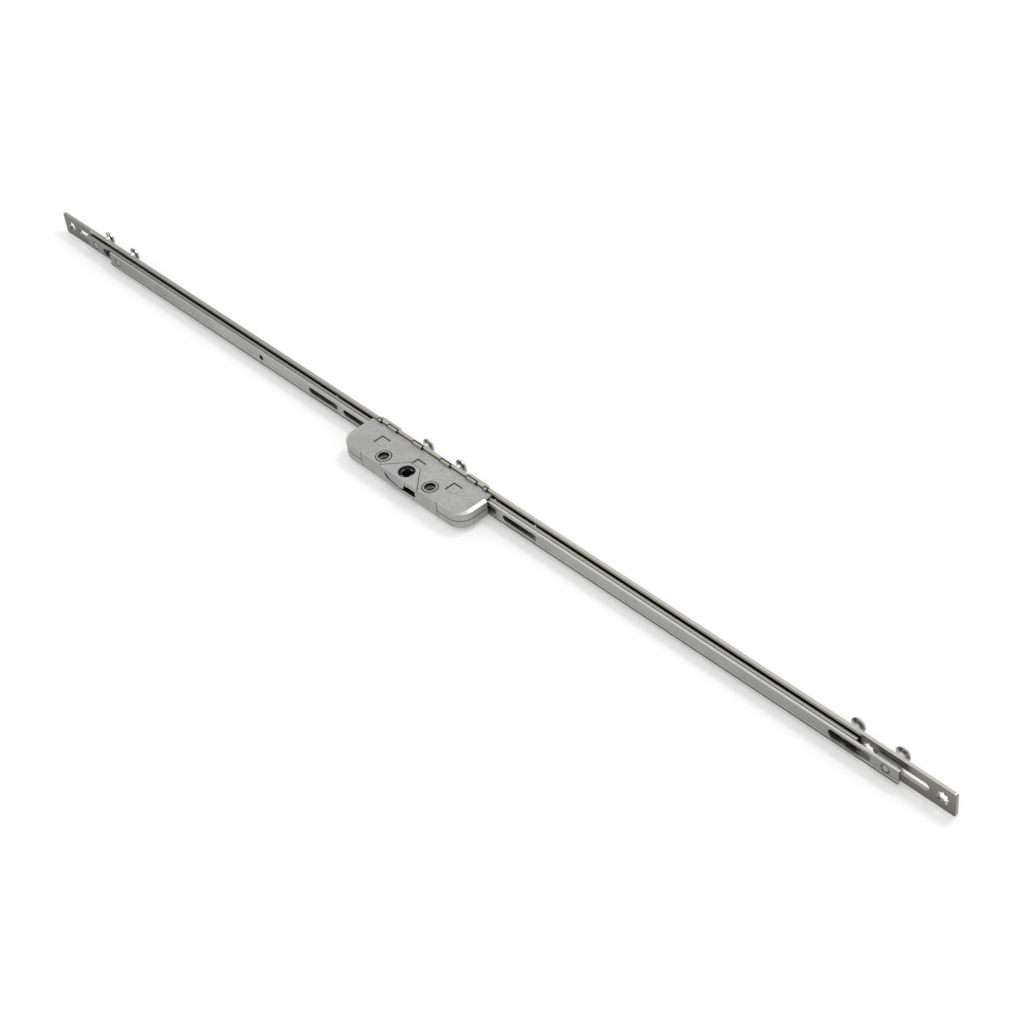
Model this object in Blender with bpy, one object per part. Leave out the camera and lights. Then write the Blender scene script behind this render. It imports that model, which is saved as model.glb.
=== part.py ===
"""Twin-cam window espagnolette: faceplate, two opposed drive bars and the centre gearbox.

X runs along the faceplate, +Y is the outer side with the cams, +Z is the axis of the handle spindle.
The origin is the middle of the faceplate's outer face, level with the spindle.
"""
import math

import bmesh
import bpy
from mathutils import Matrix, Vector

MM = 0.001
FIT = 0.3 * MM                      # gap between pieces that seat on or pass each other
WELD = 0.001 * MM

# Faceplate
FACEPLATE_LENGTH = 800 * MM
FACEPLATE_WIDTH = 16 * MM
FACEPLATE_THICKNESS = 2.0 * MM
FACEPLATE_CORNER = 1.2 * MM
PAD_INNER = 30.5 * MM               # raised pads along the outer face's edges, at the outer lugs
PAD_OUTER = 50.5 * MM
PAD_HEIGHT = 1.2 * MM
PAD_WIDTH = 3.0 * MM

# Cams, in three pairs: one cam of a pair is on each drive bar
STROKE = 18 * MM                    # travel of each bar for a quarter turn of the handle
END_LAND = 4.1 * MM                 # metal left between the last cam slot and the end hole
CAM_SPACING = 30 * MM
PIN_DIAMETER = 4.6 * MM
CAM_STEM_DIAMETER = 5.2 * MM
CAM_HEAD_DIAMETER = 9.5 * MM
CAM_HEAD_HEIGHT = 7.3 * MM          # from the faceplate to the widest rim of the head
CAM_RIM = 0.9 * MM
CAM_CROWN = 0.6 * MM
CAM_ECCENTRICITY = 0.5 * MM
CAM_SHOULDER_DIAMETER = 7.4 * MM
CAM_SHOULDER_HEIGHT = 0.7 * MM
CAM_SOCKET = 4.0 * MM               # across the flats of the adjusting socket
CAM_SOCKET_DEPTH = 1.8 * MM
SLOT_SPARE_OUT = 4.7 * MM           # spare length of a cam slot past the stroke
SLOT_SPARE_IN = 5.2 * MM

# Drive bars: the rear one is a flat strip, and the front one's lower edge is stepped forward
BAR_THICKNESS = 1.7 * MM
BAR_STANDOFF = 0.9 * MM             # faceplate to rear bar
BAR_STEP = 0.75 * MM
REAR_BAR_HALF = 4.75 * MM           # half of the rear bar's height
FRONT_BAR_TOP = 4.3 * MM
FRONT_BAR_BOTTOM = 5.0 * MM         # below the middle line
PIN_FIT = 0.08 * MM                 # running fit of a cam pin in its bar
BAR_END = 9 * MM                    # past the last cam pin
BAR_EDGE = 0.25 * MM
SLOT_STEP_MARGIN = 0.15 * MM

# Fixing-screw holes in the faceplate, and the slots that keep the bars clear of the screws
END_HOLE_INSET = 8.5 * MM
SCREW_SLOT_HALF = 2.15 * MM         # half height of the slots beside the gearbox
STAR_OUTER_RADIUS = 4.4 * MM
PAIR_PITCH = (FACEPLATE_LENGTH / 2 - END_HOLE_INSET - STAR_OUTER_RADIUS - END_LAND
              - CAM_SPACING / 2 - STROKE - SLOT_SPARE_OUT - PIN_DIAMETER / 2)
INNER_SCREW_STATIONS = (57 * MM, 91.5 * MM)
STAR_INNER_RADIUS = 3.2 * MM
STAR_POINTS = 8
SCREW_SLOT_SPARE = 5.5 * MM
PEG_HOLE_STATION = 165 * MM
PEG_HOLE_DIAMETER = 4.2 * MM

# Gearbox case
BACKSET = 22 * MM                   # faceplate's outer face to the spindle axis
CASE_LENGTH = 112 * MM
CASE_FRONT = 7.2 * MM               # spindle axis to the front wall
CASE_CORNER = 10.5 * MM
CASE_STEP_X = 1.8 * MM              # step at each end, beside the faceplate
CASE_STEP_Y = 5.1 * MM
COVER_PLATE = 1.4 * MM
BASE_PLATE = 1.0 * MM
CASE_WALL = 1.3 * MM
CASE_SPLIT = 0.4 * MM
CASE_BEVEL_FRONT = 0.4 * MM
CASE_BEVEL_END = 2.4 * MM
CASE_BEVEL_DROP = 1.2 * MM
BASE_EDGE = 1.6 * MM
FRONT_PANEL = 70 * MM               # length of the base's full-height front wall
LUG_END_INSET = 7.3 * MM            # case end to its last lug
LUGS = ((12.75 * MM, 9.8 * MM), (36.4 * MM, 9.8 * MM),
        (CASE_LENGTH / 2 - LUG_END_INSET, 4.2 * MM))    # station and notch length
LUG_NOTCH = 1.6 * MM
LUG_SKIN = 0.45 * MM                # metal left outside a notch
LUG_PLAY = 0.4 * MM
LUG_ROOT = 0.5 * MM
POST_END_INSET = 9 * MM             # case end to the outer posts
POST_REAR_INSET = 13.5 * MM         # faceplate's outer face to the outer posts
POST_SCREW_GAP = 14.5 * MM          # handle screw to the inner post
POST_FRONT_INSET = 4.7 * MM         # front wall's face to the inner posts
POST_STEPS = 20
POST_DIAMETER = 3.0 * MM
POST_HEAD = 4.4 * MM
POST_HEAD_HEIGHT = 0.6 * MM
POST_SEAT = 3.3 * MM
POST_SEAT_TOP = -3.2 * MM

# Marks pressed in the cover
MARK_DEPTH = 0.45 * MM
MARK_RIM = 0.35 * MM
MARK_RIM_DEPTH = 0.8 * MM
SQUARE_SIDE = 7.3 * MM
SQUARE_STATION = 33.2 * MM
SQUARE_INSET = 13.5 * MM            # faceplate's outer face to the squares' centres
PANEL_TOP_HALF = 4.6 * MM
PANEL_BASE_HALF = 17.4 * MM
PANEL_TOP_INSET = 15 * MM
PANEL_GROOVE = 0.5 * MM
PANEL_DIMPLE = 1.3 * MM

# Front window, with a tongue of the wall hanging in it
WINDOW_LEFT = 13.7 * MM
WINDOW_RIGHT = 15 * MM
WINDOW_TOP = 3.2 * MM
WINDOW_SIDE = 0.7 * MM              # height of the window's left side
WINDOW_SILL = ((-11.2 * MM, -0.6 * MM), (0.4 * MM, -2.3 * MM), (WINDOW_RIGHT, -1.3 * MM))
TONGUE = ((5.0 * MM, WINDOW_TOP), (3.6 * MM, -0.6 * MM), (1.5 * MM, -1.5 * MM),
          (-0.4 * MM, -1.4 * MM), (-9.4 * MM, 0.6 * MM), (-11.8 * MM, WINDOW_TOP))

# Leaf spring behind the tongue, between the follower's flanges
SPRING_THICKNESS = 0.5 * MM
SPRING_GAP = 0.2 * MM               # to the front wall
SPRING_FOOT = 18 * MM
SPRING_BEND = 3.0 * MM
SPRING_TIP = (5.6 * MM, -26.2 * MM)
SPRING_LOW = -0.4 * MM
SPRING_HIGH = 3.0 * MM

# Handle fixings: 43 mm between the screws, 7 mm square spindle
HANDLE_SCREW_SPACING = 43 * MM
SLEEVE_BORE = 5.9 * MM
SLEEVE_COUNTERBORE = 7.0 * MM
SLEEVE_COUNTERBORE_DEPTH = 1.2 * MM
SLEEVE_DIAMETER = 8.2 * MM
SLEEVE_FLANGE_DIAMETER = 9.5 * MM
SLEEVE_FLANGE = 0.8 * MM
SLEEVE_PROUD = 0.15 * MM
SPINDLE_SQUARE = 7.1 * MM
SPINDLE_CORNER = 0.6 * MM
HUB_DIAMETER = 9.8 * MM
HUB_FLANGE = 0.55 * MM              # how far the flanges stand out
HUB_FLANGE_HEIGHT = 1.0 * MM
HUB_TOP_RECESS = 1.2 * MM
HUB_BOTTOM_RECESS = 0.5 * MM

# Gearing: the follower's toothed sector drives the front bar's rack,
# and a small pinion between the bars makes the rear bar run the other way
PRESSURE_ANGLE = math.radians(20)
BACKLASH = 0.16 * MM
SECTOR_TEETH = 20                   # teeth that a whole wheel would have
SECTOR_FIRST = -1                   # first and last tooth, counted from the meshing point
SECTOR_LAST = 6
SECTOR_TOP = 2.2 * MM
SECTOR_BOTTOM = 1.9 * MM
TOOTH_HEIGHT = 0.9                  # tooth height past the pitch line, in modules
ROOT_CLEARANCE = 0.25 * MM
RACK_LEFT = 41 * MM
RACK_RIGHT = 30 * MM
RACK_RIVETS = (-36 * MM, 25 * MM)
RACK_RIVET_DIAMETER = 2.8 * MM
RACK_RIVET_HEAD = 3.6 * MM
RACK_RIVET_HEAD_HEIGHT = 0.8 * MM
REVERSER_TEETH = 8
REVERSER_RADIUS = 2.8 * MM
REVERSER_ADDENDUM = 0.6 * MM
REVERSER_RACK_ADDENDUM = 0.3 * MM
REVERSER_DROP = 0.15 * MM
STUD_DIAMETER = 2.4 * MM
STUD_DEPTH = 1.2 * MM               # seated in the faceplate from the inside

# Spacer behind the front bar's right end
SPACER_LEFT = 7.5 * MM
SPACER_HALF_HEIGHT = 4.0 * MM

# Stack of the strips, measured from the faceplate's outer face towards the case
FACE_BACK = -FACEPLATE_THICKNESS
REAR_BAR_BACK = FACE_BACK - BAR_STANDOFF
REAR_BAR_FRONT = REAR_BAR_BACK - BAR_THICKNESS
FRONT_BAR_BACK = REAR_BAR_FRONT - FIT
FRONT_BAR_FRONT = FRONT_BAR_BACK - BAR_THICKNESS
LIP_FRONT = FRONT_BAR_FRONT - BAR_STEP

PIN_RADIUS = PIN_DIAMETER / 2
SLOT_HALF = PIN_RADIUS + FIT
STEP_LEVEL = -(SLOT_HALF + SLOT_STEP_MARGIN)
FRONT_PINS = (-PAIR_PITCH + CAM_SPACING / 2, CAM_SPACING / 2, PAIR_PITCH + CAM_SPACING / 2)
REAR_PINS = tuple(-x for x in reversed(FRONT_PINS))

COVER_UNDERSIDE = REAR_BAR_HALF + FIT
CASE_TOP = COVER_UNDERSIDE + COVER_PLATE
BASE_FLOOR = -FRONT_BAR_BOTTOM - FIT
CASE_BOTTOM = BASE_FLOOR - BASE_PLATE
CASE_FRONT_FACE = -BACKSET - CASE_FRONT
CASE_REAR_FACE = FACE_BACK - FIT
CASE_END_WALL_REAR = LIP_FRONT - FIT
OUTER_POST = (CASE_LENGTH / 2 - POST_END_INSET, -POST_REAR_INSET)
INNER_POST = (HANDLE_SCREW_SPACING / 2 + POST_SCREW_GAP, CASE_FRONT_FACE + POST_FRONT_INSET)
POSTS = tuple((side * x, y) for side in (-1, 1) for x, y in (OUTER_POST, INNER_POST))

SECTOR_RADIUS = STROKE / (math.pi / 2)
SECTOR_MODULE = 2 * SECTOR_RADIUS / SECTOR_TEETH
RACK_LINE = -BACKSET + SECTOR_RADIUS
SPRING_LINE = CASE_FRONT_FACE + CASE_WALL + SPRING_GAP + SPRING_THICKNESS / 2
REVERSER_MODULE = 2 * REVERSER_RADIUS / REVERSER_TEETH
REVERSER_TIP = REVERSER_RADIUS + REVERSER_ADDENDUM

STEEL = ((0.52, 0.52, 0.49), 0.32, 1.0)
DARK_STEEL = ((0.40, 0.39, 0.36), 0.38, 1.0)
CAST_ZINC = ((0.58, 0.58, 0.57), 0.48, 0.85)
BRIGHT_STEEL = ((0.72, 0.72, 0.70), 0.18, 1.0)
GEAR_STEEL = ((0.45, 0.45, 0.44), 0.35, 1.0)


def clear_scene():
    for item in list(bpy.data.objects):
        bpy.data.objects.remove(item)


def finish(item, look):
    """Give the object its own material, and shade its round faces smooth."""
    colour, roughness, metallic = look
    material = bpy.data.materials.new(item.name + "_finish")
    material.use_nodes = True
    shader = material.node_tree.nodes["Principled BSDF"]
    shader.inputs["Base Color"].default_value = (*colour, 1)
    shader.inputs["Roughness"].default_value = roughness
    shader.inputs["Metallic"].default_value = metallic
    item.data.materials.clear()
    item.data.materials.append(material)
    item.data.shade_smooth()
    item.data.set_sharp_from_angle(angle=math.radians(35))


def new_object(name, shape, location=(0, 0, 0)):
    mesh = bpy.data.meshes.new(name)
    bmesh.ops.recalc_face_normals(shape, faces=shape.faces)
    shape.to_mesh(mesh)
    shape.free()
    item = bpy.data.objects.new(name, mesh)
    item.location = location
    bpy.context.scene.collection.objects.link(item)
    return item


def prism(name, outline, low, high, axis="Z", location=(0, 0, 0)):
    """Extrude a closed outline along an axis. Outlines are XY for Z, XZ for Y and YZ for X."""
    place = {
        "X": lambda u, v, w: (w, u, v),
        "Y": lambda u, v, w: (u, w, v),
        "Z": lambda u, v, w: (u, v, w),
    }[axis]
    shape = bmesh.new()
    ends = []
    for level in (low, high):
        ends.append([shape.verts.new(place(u, v, level)) for u, v in outline])
    shape.faces.new(ends[0])
    shape.faces.new(list(reversed(ends[1])))
    for a in range(len(outline)):
        b = (a + 1) % len(outline)
        shape.faces.new((ends[0][a], ends[0][b], ends[1][b], ends[1][a]))
    return new_object(name, shape, location)


def lathe(name, profile, axis="Y", steps=32, location=(0, 0, 0)):
    """Turn a closed profile of (radius, height) points about an axis."""
    shape = bmesh.new()
    verts = [shape.verts.new((radius, 0, height)) for radius, height in profile]
    edges = [shape.edges.new((verts[i], verts[(i + 1) % len(verts)])) for i in range(len(verts))]
    bmesh.ops.spin(shape, geom=verts + edges, cent=(0, 0, 0), axis=(0, 0, 1),
                   angle=2 * math.pi, steps=steps, use_merge=True)
    bmesh.ops.remove_doubles(shape, verts=shape.verts, dist=WELD)
    loose = [edge for edge in shape.edges if not edge.link_faces]
    bmesh.ops.delete(shape, geom=loose, context="EDGES")
    if axis == "Y":
        bmesh.ops.rotate(shape, verts=shape.verts, matrix=Matrix.Rotation(-math.pi / 2, 3, "X"))
    return new_object(name, shape, location)


def combine(item, tools, operation="DIFFERENCE"):
    """Cut the tools from the object, or join them to it, and remove them."""
    first = tools[0]
    shape = bmesh.new()
    for tool in tools:
        tool.data.transform(tool.matrix_basis)
        shape.from_mesh(tool.data)
    first.matrix_basis = Matrix()
    shape.to_mesh(first.data)
    shape.free()
    first.location = (0, 0, 0)
    modifier = item.modifiers.new(first.name, "BOOLEAN")
    modifier.operation = operation
    modifier.solver = "EXACT"
    modifier.use_self = True
    modifier.object = first
    graph = bpy.context.evaluated_depsgraph_get()
    mesh = bpy.data.meshes.new_from_object(item.evaluated_get(graph))
    item.modifiers.clear()
    shape = bmesh.new()
    shape.from_mesh(mesh)
    bmesh.ops.remove_doubles(shape, verts=shape.verts, dist=WELD)
    bmesh.ops.dissolve_degenerate(shape, edges=shape.edges, dist=WELD)
    shape.to_mesh(mesh)
    shape.free()
    item.data = mesh
    for tool in tools:
        bpy.data.objects.remove(tool)
    return item


def arc(centre, radius, start, end, steps):
    """Points on an arc, with angles in degrees."""
    points = []
    for i in range(steps + 1):
        angle = math.radians(start + (end - start) * i / steps)
        points.append((centre[0] + radius * math.cos(angle), centre[1] + radius * math.sin(angle)))
    return points


def circle(centre, radius, steps=24):
    return arc(centre, radius, 0, 360 - 360 / steps, steps - 1)


def rectangle(left, right, low, high):
    return [(left, low), (right, low), (right, high), (left, high)]


def slot(left, right, half_height, steps=8):
    """Outline of a slot with round ends, along X on the middle line."""
    points = arc((right - half_height, 0), half_height, -90, 90, steps)
    return points + arc((left + half_height, 0), half_height, 90, 270, steps)


def star(centre_x):
    points = []
    for i in range(2 * STAR_POINTS):
        radius = STAR_OUTER_RADIUS if i % 2 == 0 else STAR_INNER_RADIUS
        angle = math.pi * i / STAR_POINTS
        points.append((centre_x + radius * math.cos(angle), radius * math.sin(angle)))
    return points


def involute(angle):
    return math.tan(angle) - angle


def tooth(centre_angle, pitch_radius, module, addendum, dedendum, flank_steps=4):
    """Points of one involute tooth, from its root on one side to its root on the other."""
    base_radius = pitch_radius * math.cos(PRESSURE_ANGLE)
    root_radius = pitch_radius - dedendum
    tip_radius = pitch_radius + addendum
    start_radius = max(base_radius, root_radius)
    half_at_pitch = (math.pi * module / 2 - BACKLASH) / (2 * pitch_radius)
    flank = []
    for i in range(flank_steps + 1):
        radius = start_radius + (tip_radius - start_radius) * i / flank_steps
        roll = math.acos(min(1, base_radius / radius))
        flank.append((radius, half_at_pitch + involute(PRESSURE_ANGLE) - involute(roll)))
    if root_radius < start_radius:
        flank.insert(0, (root_radius, flank[0][1]))
    points = [(radius, centre_angle - half) for radius, half in flank]
    points += [(radius, centre_angle + half) for radius, half in reversed(flank)]
    return [(radius * math.cos(angle), radius * math.sin(angle)) for radius, angle in points]


def rack_edge(first, last, pitch, line, addendum, dedendum, direction):
    """Toothed edge from the first tooth centre to the last. direction is +1 where the teeth
    point along the second coordinate, and -1 where they point against it."""
    crest = line + direction * addendum
    root = line - direction * dedendum
    half = (pitch / 2 - BACKLASH) / 2
    lean = math.tan(PRESSURE_ANGLE)
    points = []
    count = round((last - first) / pitch)
    for i in range(count + 1):
        centre = first + i * pitch
        points.append((centre - half - dedendum * lean, root))
        points.append((centre - half + addendum * lean, crest))
        points.append((centre + half - addendum * lean, crest))
        points.append((centre + half + dedendum * lean, root))
    return points


def screw_stations():
    """Screw holes of the faceplate over the bars, each with its bar slots' half height."""
    stations = []
    for side in (-1, 1):
        stations += [(side * x, SCREW_SLOT_HALF) for x in INNER_SCREW_STATIONS]
        stations.append((side * PAIR_PITCH, SLOT_HALF))
    return stations


def cam_slot_span(pin, direction):
    """Ends of the faceplate slot of a cam whose bar travels in the given direction."""
    outer = pin + direction * (STROKE + SLOT_SPARE_OUT)
    inner = pin - direction * SLOT_SPARE_IN
    low, high = sorted((outer, inner))
    return low - PIN_RADIUS, high + PIN_RADIUS


def lug_places():
    return [(side * x, length) for x, length in LUGS for side in (-1, 1)]


def build_faceplate():
    half_length = FACEPLATE_LENGTH / 2
    half_width = FACEPLATE_WIDTH / 2
    x = half_length - FACEPLATE_CORNER
    z = half_width - FACEPLATE_CORNER
    outline = []
    for centre, start in (((x, z), 0), ((-x, z), 90), ((-x, -z), 180), ((x, -z), 270)):
        outline += arc(centre, FACEPLATE_CORNER, start, start + 90, 4)
    plate = prism("faceplate", outline, FACE_BACK, 0, "Y")
    pads = []
    taper = PAD_HEIGHT
    foot = FACEPLATE_THICKNESS / 2
    for side in (-1, 1):
        section = [(side * PAD_INNER, -foot), (side * PAD_OUTER, -foot), (side * PAD_OUTER, 0),
                   (side * (PAD_OUTER - taper), PAD_HEIGHT), (side * (PAD_INNER + taper), PAD_HEIGHT),
                   (side * PAD_INNER, 0)]
        pads.append(prism("pad", section, half_width - PAD_WIDTH, half_width, "Z"))
        pads.append(prism("pad", section, -half_width, -half_width + PAD_WIDTH, "Z"))
    combine(plate, pads, "UNION")
    cutters = []
    reach = FACEPLATE_THICKNESS + PAD_HEIGHT + FIT
    for pins, direction in ((FRONT_PINS, 1), (REAR_PINS, -1)):
        for pin in pins:
            left, right = cam_slot_span(pin, direction)
            cutters.append(prism("cam_slot", slot(left, right, SLOT_HALF), -reach, reach, "Y"))
    end_holes = [side * (half_length - END_HOLE_INSET) for side in (-1, 1)]
    for station in [x for x, half in screw_stations()] + end_holes:
        cutters.append(prism("star", star(station), -reach, reach, "Y"))
    for centre, length in lug_places():
        for side in (-1, 1):
            low, high = sorted((side * (half_width - LUG_NOTCH), side * (half_width + FIT)))
            notch = rectangle(centre - length / 2, centre + length / 2, low, high)
            cutters.append(prism("notch", notch, -reach, -LUG_SKIN, "Y"))
    seat_end = FACE_BACK + STUD_DEPTH + FIT
    seat = circle((0, -REVERSER_DROP), STUD_DIAMETER / 2 + FIT / 2)
    cutters.append(prism("stud_seat", seat, FACE_BACK - FIT, seat_end, "Y"))
    combine(plate, cutters)
    finish(plate, STEEL)
    return plate


def rear_bar_section():
    """Section of the rear bar in YZ: a flat strip with its front edges eased."""
    front = REAR_BAR_FRONT
    half = REAR_BAR_HALF
    return [(REAR_BAR_BACK, half), (REAR_BAR_BACK, -half), (front + BAR_EDGE, -half),
            (front, -half + BAR_EDGE), (front, half - BAR_EDGE), (front + BAR_EDGE, half)]


def front_bar_section():
    """Section of the front bar in YZ: a strip whose lower edge is stepped towards the case."""
    back = FRONT_BAR_BACK
    front = FRONT_BAR_FRONT
    back_step = STEP_LEVEL + FIT
    return [
        (back, FRONT_BAR_TOP),
        (back, back_step),
        (back - BAR_STEP, back_step),
        (back - BAR_STEP, -FRONT_BAR_BOTTOM),
        (LIP_FRONT + BAR_EDGE, -FRONT_BAR_BOTTOM),
        (LIP_FRONT, -FRONT_BAR_BOTTOM + BAR_EDGE),
        (LIP_FRONT, STEP_LEVEL),
        (front, STEP_LEVEL),
        (front, FRONT_BAR_TOP - BAR_EDGE),
        (front + BAR_EDGE, FRONT_BAR_TOP),
    ]


def reverser_slot(direction):
    """Slot of a bar round the reversing pinion. The bar that travels +X is toothed along the
    slot's upper edge, and the other along its lower edge."""
    pitch = math.pi * REVERSER_MODULE
    line = direction * REVERSER_RADIUS - REVERSER_DROP
    plain = -direction * (REVERSER_TIP + FIT) - REVERSER_DROP
    teeth_each_way = math.ceil((STROKE + pitch) / pitch)
    first = -teeth_each_way * pitch - pitch / 2 if direction > 0 else -1.5 * pitch
    last = first + (teeth_each_way + 2) * pitch
    edge = rack_edge(first, last, pitch, line, REVERSER_RACK_ADDENDUM,
                     REVERSER_ADDENDUM + FIT, -direction)
    return edge + [(edge[-1][0], plain), (edge[0][0], plain)]


def build_bar(name, direction, section, back):
    """A drive bar. direction is the way it travels along X when the handle is turned."""
    pins = FRONT_PINS if direction > 0 else REAR_PINS
    bar = prism(name, section, pins[0] - BAR_END, pins[-1] + BAR_END, "X")
    near = back + FIT
    far = back - BAR_THICKNESS - BAR_STEP - FIT
    cutters = []
    for pin in pins:
        cutters.append(prism("pin_hole", circle((pin, 0), PIN_RADIUS + PIN_FIT), far, near, "Y"))
    for station, half in screw_stations():
        moved = station - direction * (STROKE + SCREW_SLOT_SPARE)
        spare = station + direction * SCREW_SLOT_SPARE
        left, right = sorted((moved, spare))
        if left > pins[0] - BAR_END and right < pins[-1] + BAR_END:
            cutters.append(prism("screw_slot", slot(left, right, half), far, near, "Y"))
    if direction < 0:
        for pin in FRONT_PINS[:-1]:
            left = pin - SLOT_HALF
            right = pin + 2 * STROKE + SLOT_HALF
            cutters.append(prism("pin_slot", slot(left, right, SLOT_HALF), far, near, "Y"))
    else:
        for station in RACK_RIVETS:
            hole = circle((station, 0), RACK_RIVET_DIAMETER / 2 + FIT / 2)
            cutters.append(prism("rivet_hole", hole, far, near, "Y"))
    peg = circle((-direction * PEG_HOLE_STATION, 0), PEG_HOLE_DIAMETER / 2, 16)
    cutters.append(prism("peg_hole", peg, far, near, "Y"))
    cutters.append(prism("reverser_slot", reverser_slot(direction), far, near, "Y"))
    combine(bar, cutters)
    finish(bar, STEEL)
    return bar


def build_cam(name, pin, tail_end, bar):
    """Mushroom cam: a pin turning in its bar, and an eccentric stem and head beyond the faceplate."""
    outer = FIT
    shoulder = outer + CAM_SHOULDER_HEIGHT
    tail = tail_end + FIT / 2
    edge = BAR_EDGE
    profile = [(0, tail), (PIN_RADIUS - edge, tail), (PIN_RADIUS, tail + edge),
               (PIN_RADIUS, shoulder), (0, shoulder)]
    cam = lathe(name, profile, steps=24, location=(pin, 0, 0))
    stem = CAM_STEM_DIAMETER / 2
    head = CAM_HEAD_DIAMETER / 2
    rim = CAM_HEAD_HEIGHT
    crown = rim + CAM_RIM + CAM_CROWN
    profile = [(0, outer), (CAM_SHOULDER_DIAMETER / 2, outer), (CAM_SHOULDER_DIAMETER / 2, shoulder),
               (stem, shoulder + edge), (stem, rim - CAM_CROWN - edge), (stem + edge, rim - CAM_CROWN),
               (head, rim), (head, rim + CAM_RIM), (head - CAM_CROWN, crown), (0, crown)]
    upper = lathe("stem", profile, steps=24, location=(pin, 0, -CAM_ECCENTRICITY))
    combine(cam, [upper], "UNION")
    socket = circle((0, -CAM_ECCENTRICITY), CAM_SOCKET / math.sqrt(3), 6)
    cut = prism("socket", socket, crown - CAM_SOCKET_DEPTH, crown + FIT, "Y", (pin, 0, 0))
    combine(cam, [cut])
    finish(cam, BRIGHT_STEEL)
    cam.parent = bar
    return cam


def build_spacer(bar):
    """Spacer plate that fills the rear bar's place behind the front bar's right end."""
    pin = FRONT_PINS[-1]
    right = pin + BAR_END - FIT
    round_centre = right - SPACER_HALF_HEIGHT
    outline = arc((round_centre, 0), SPACER_HALF_HEIGHT, -90, 90, 12)
    outline += [(pin - SPACER_LEFT, SPACER_HALF_HEIGHT), (pin - SPACER_LEFT, -SPACER_HALF_HEIGHT)]
    spacer = prism("spacer_plate", outline, FRONT_BAR_BACK + FIT, FACE_BACK - FIT, "Y")
    hole = prism("hole", circle((pin, 0), PIN_RADIUS + FIT), FRONT_BAR_BACK, FACE_BACK, "Y")
    combine(spacer, [hole])
    finish(spacer, CAST_ZINC)
    spacer.parent = bar
    return spacer


def case_ring(end_inset=0, front_inset=0, step_inset=0):
    """Outline of the case in plan: round front corners, and a step at each end beside the faceplate."""
    half = CASE_LENGTH / 2
    centre_x = half - CASE_CORNER
    centre_y = CASE_FRONT_FACE + CASE_CORNER
    end = half - end_inset
    step = half - CASE_STEP_X - step_inset
    shoulder = CASE_REAR_FACE - CASE_STEP_Y
    points = [(-step, CASE_REAR_FACE), (-step, shoulder), (-end, shoulder)]
    for side, start in ((-1, 180), (1, 270)):
        for x, y in arc((0, 0), 1, start, start + 90, 9):
            points.append((side * centre_x + x * (CASE_CORNER - end_inset),
                           centre_y + y * (CASE_CORNER - front_inset)))
    return points + [(end, shoulder), (step, shoulder), (step, CASE_REAR_FACE)]


def loft(name, rings):
    """Closed solid through matching outlines in XY, given as (outline, height) from low to high."""
    shape = bmesh.new()
    levels = []
    for outline, height in rings:
        levels.append([shape.verts.new((x, y, height)) for x, y in outline])
    shape.faces.new(levels[0])
    shape.faces.new(list(reversed(levels[-1])))
    for low, high in zip(levels, levels[1:]):
        for a in range(len(low)):
            b = (a + 1) % len(low)
            shape.faces.new((low[a], low[b], high[b], high[a]))
    return new_object(name, shape)


def block(name, x, y, z):
    return prism(name, rectangle(x[0], x[1], y[0], y[1]), z[0], z[1])


def bar_passage():
    reach = CASE_LENGTH / 2 + FIT
    return block("bar_passage", (-reach, reach), (CASE_END_WALL_REAR, FIT),
                 (BASE_FLOOR, COVER_UNDERSIDE))


def lugs(side, root):
    """Lugs that rise from the case into the notches of the faceplate's edge."""
    pieces = []
    edge = side * FACEPLATE_WIDTH / 2
    seat = side * (FACEPLATE_WIDTH / 2 - LUG_NOTCH + FIT)
    upright = tuple(sorted((root, edge)))
    hook = tuple(sorted((seat, edge)))
    for centre, length in lug_places():
        half = length / 2 - LUG_PLAY
        span = (centre - half, centre + half)
        pieces.append(block("lug_root", span, (CASE_REAR_FACE - LUG_ROOT, CASE_REAR_FACE), upright))
        pieces.append(block("lug", span, (CASE_REAR_FACE - LUG_ROOT / 2, -LUG_SKIN - LUG_PLAY), hook))
    return pieces


def handle_screws():
    return [side * HANDLE_SCREW_SPACING / 2 for side in (-1, 1)]


def round_cut(name, x, y, radius, low, high, steps=32):
    return prism(name, circle((x, y), radius, steps), low, high)


def window_outline():
    """Front window in XZ: an opening at the right, and a narrow gap under the tongue at the left."""
    return [(-WINDOW_LEFT, WINDOW_TOP), (-WINDOW_LEFT, WINDOW_TOP - WINDOW_SIDE), *WINDOW_SILL,
            (WINDOW_RIGHT, WINDOW_TOP), *TONGUE]


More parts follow.
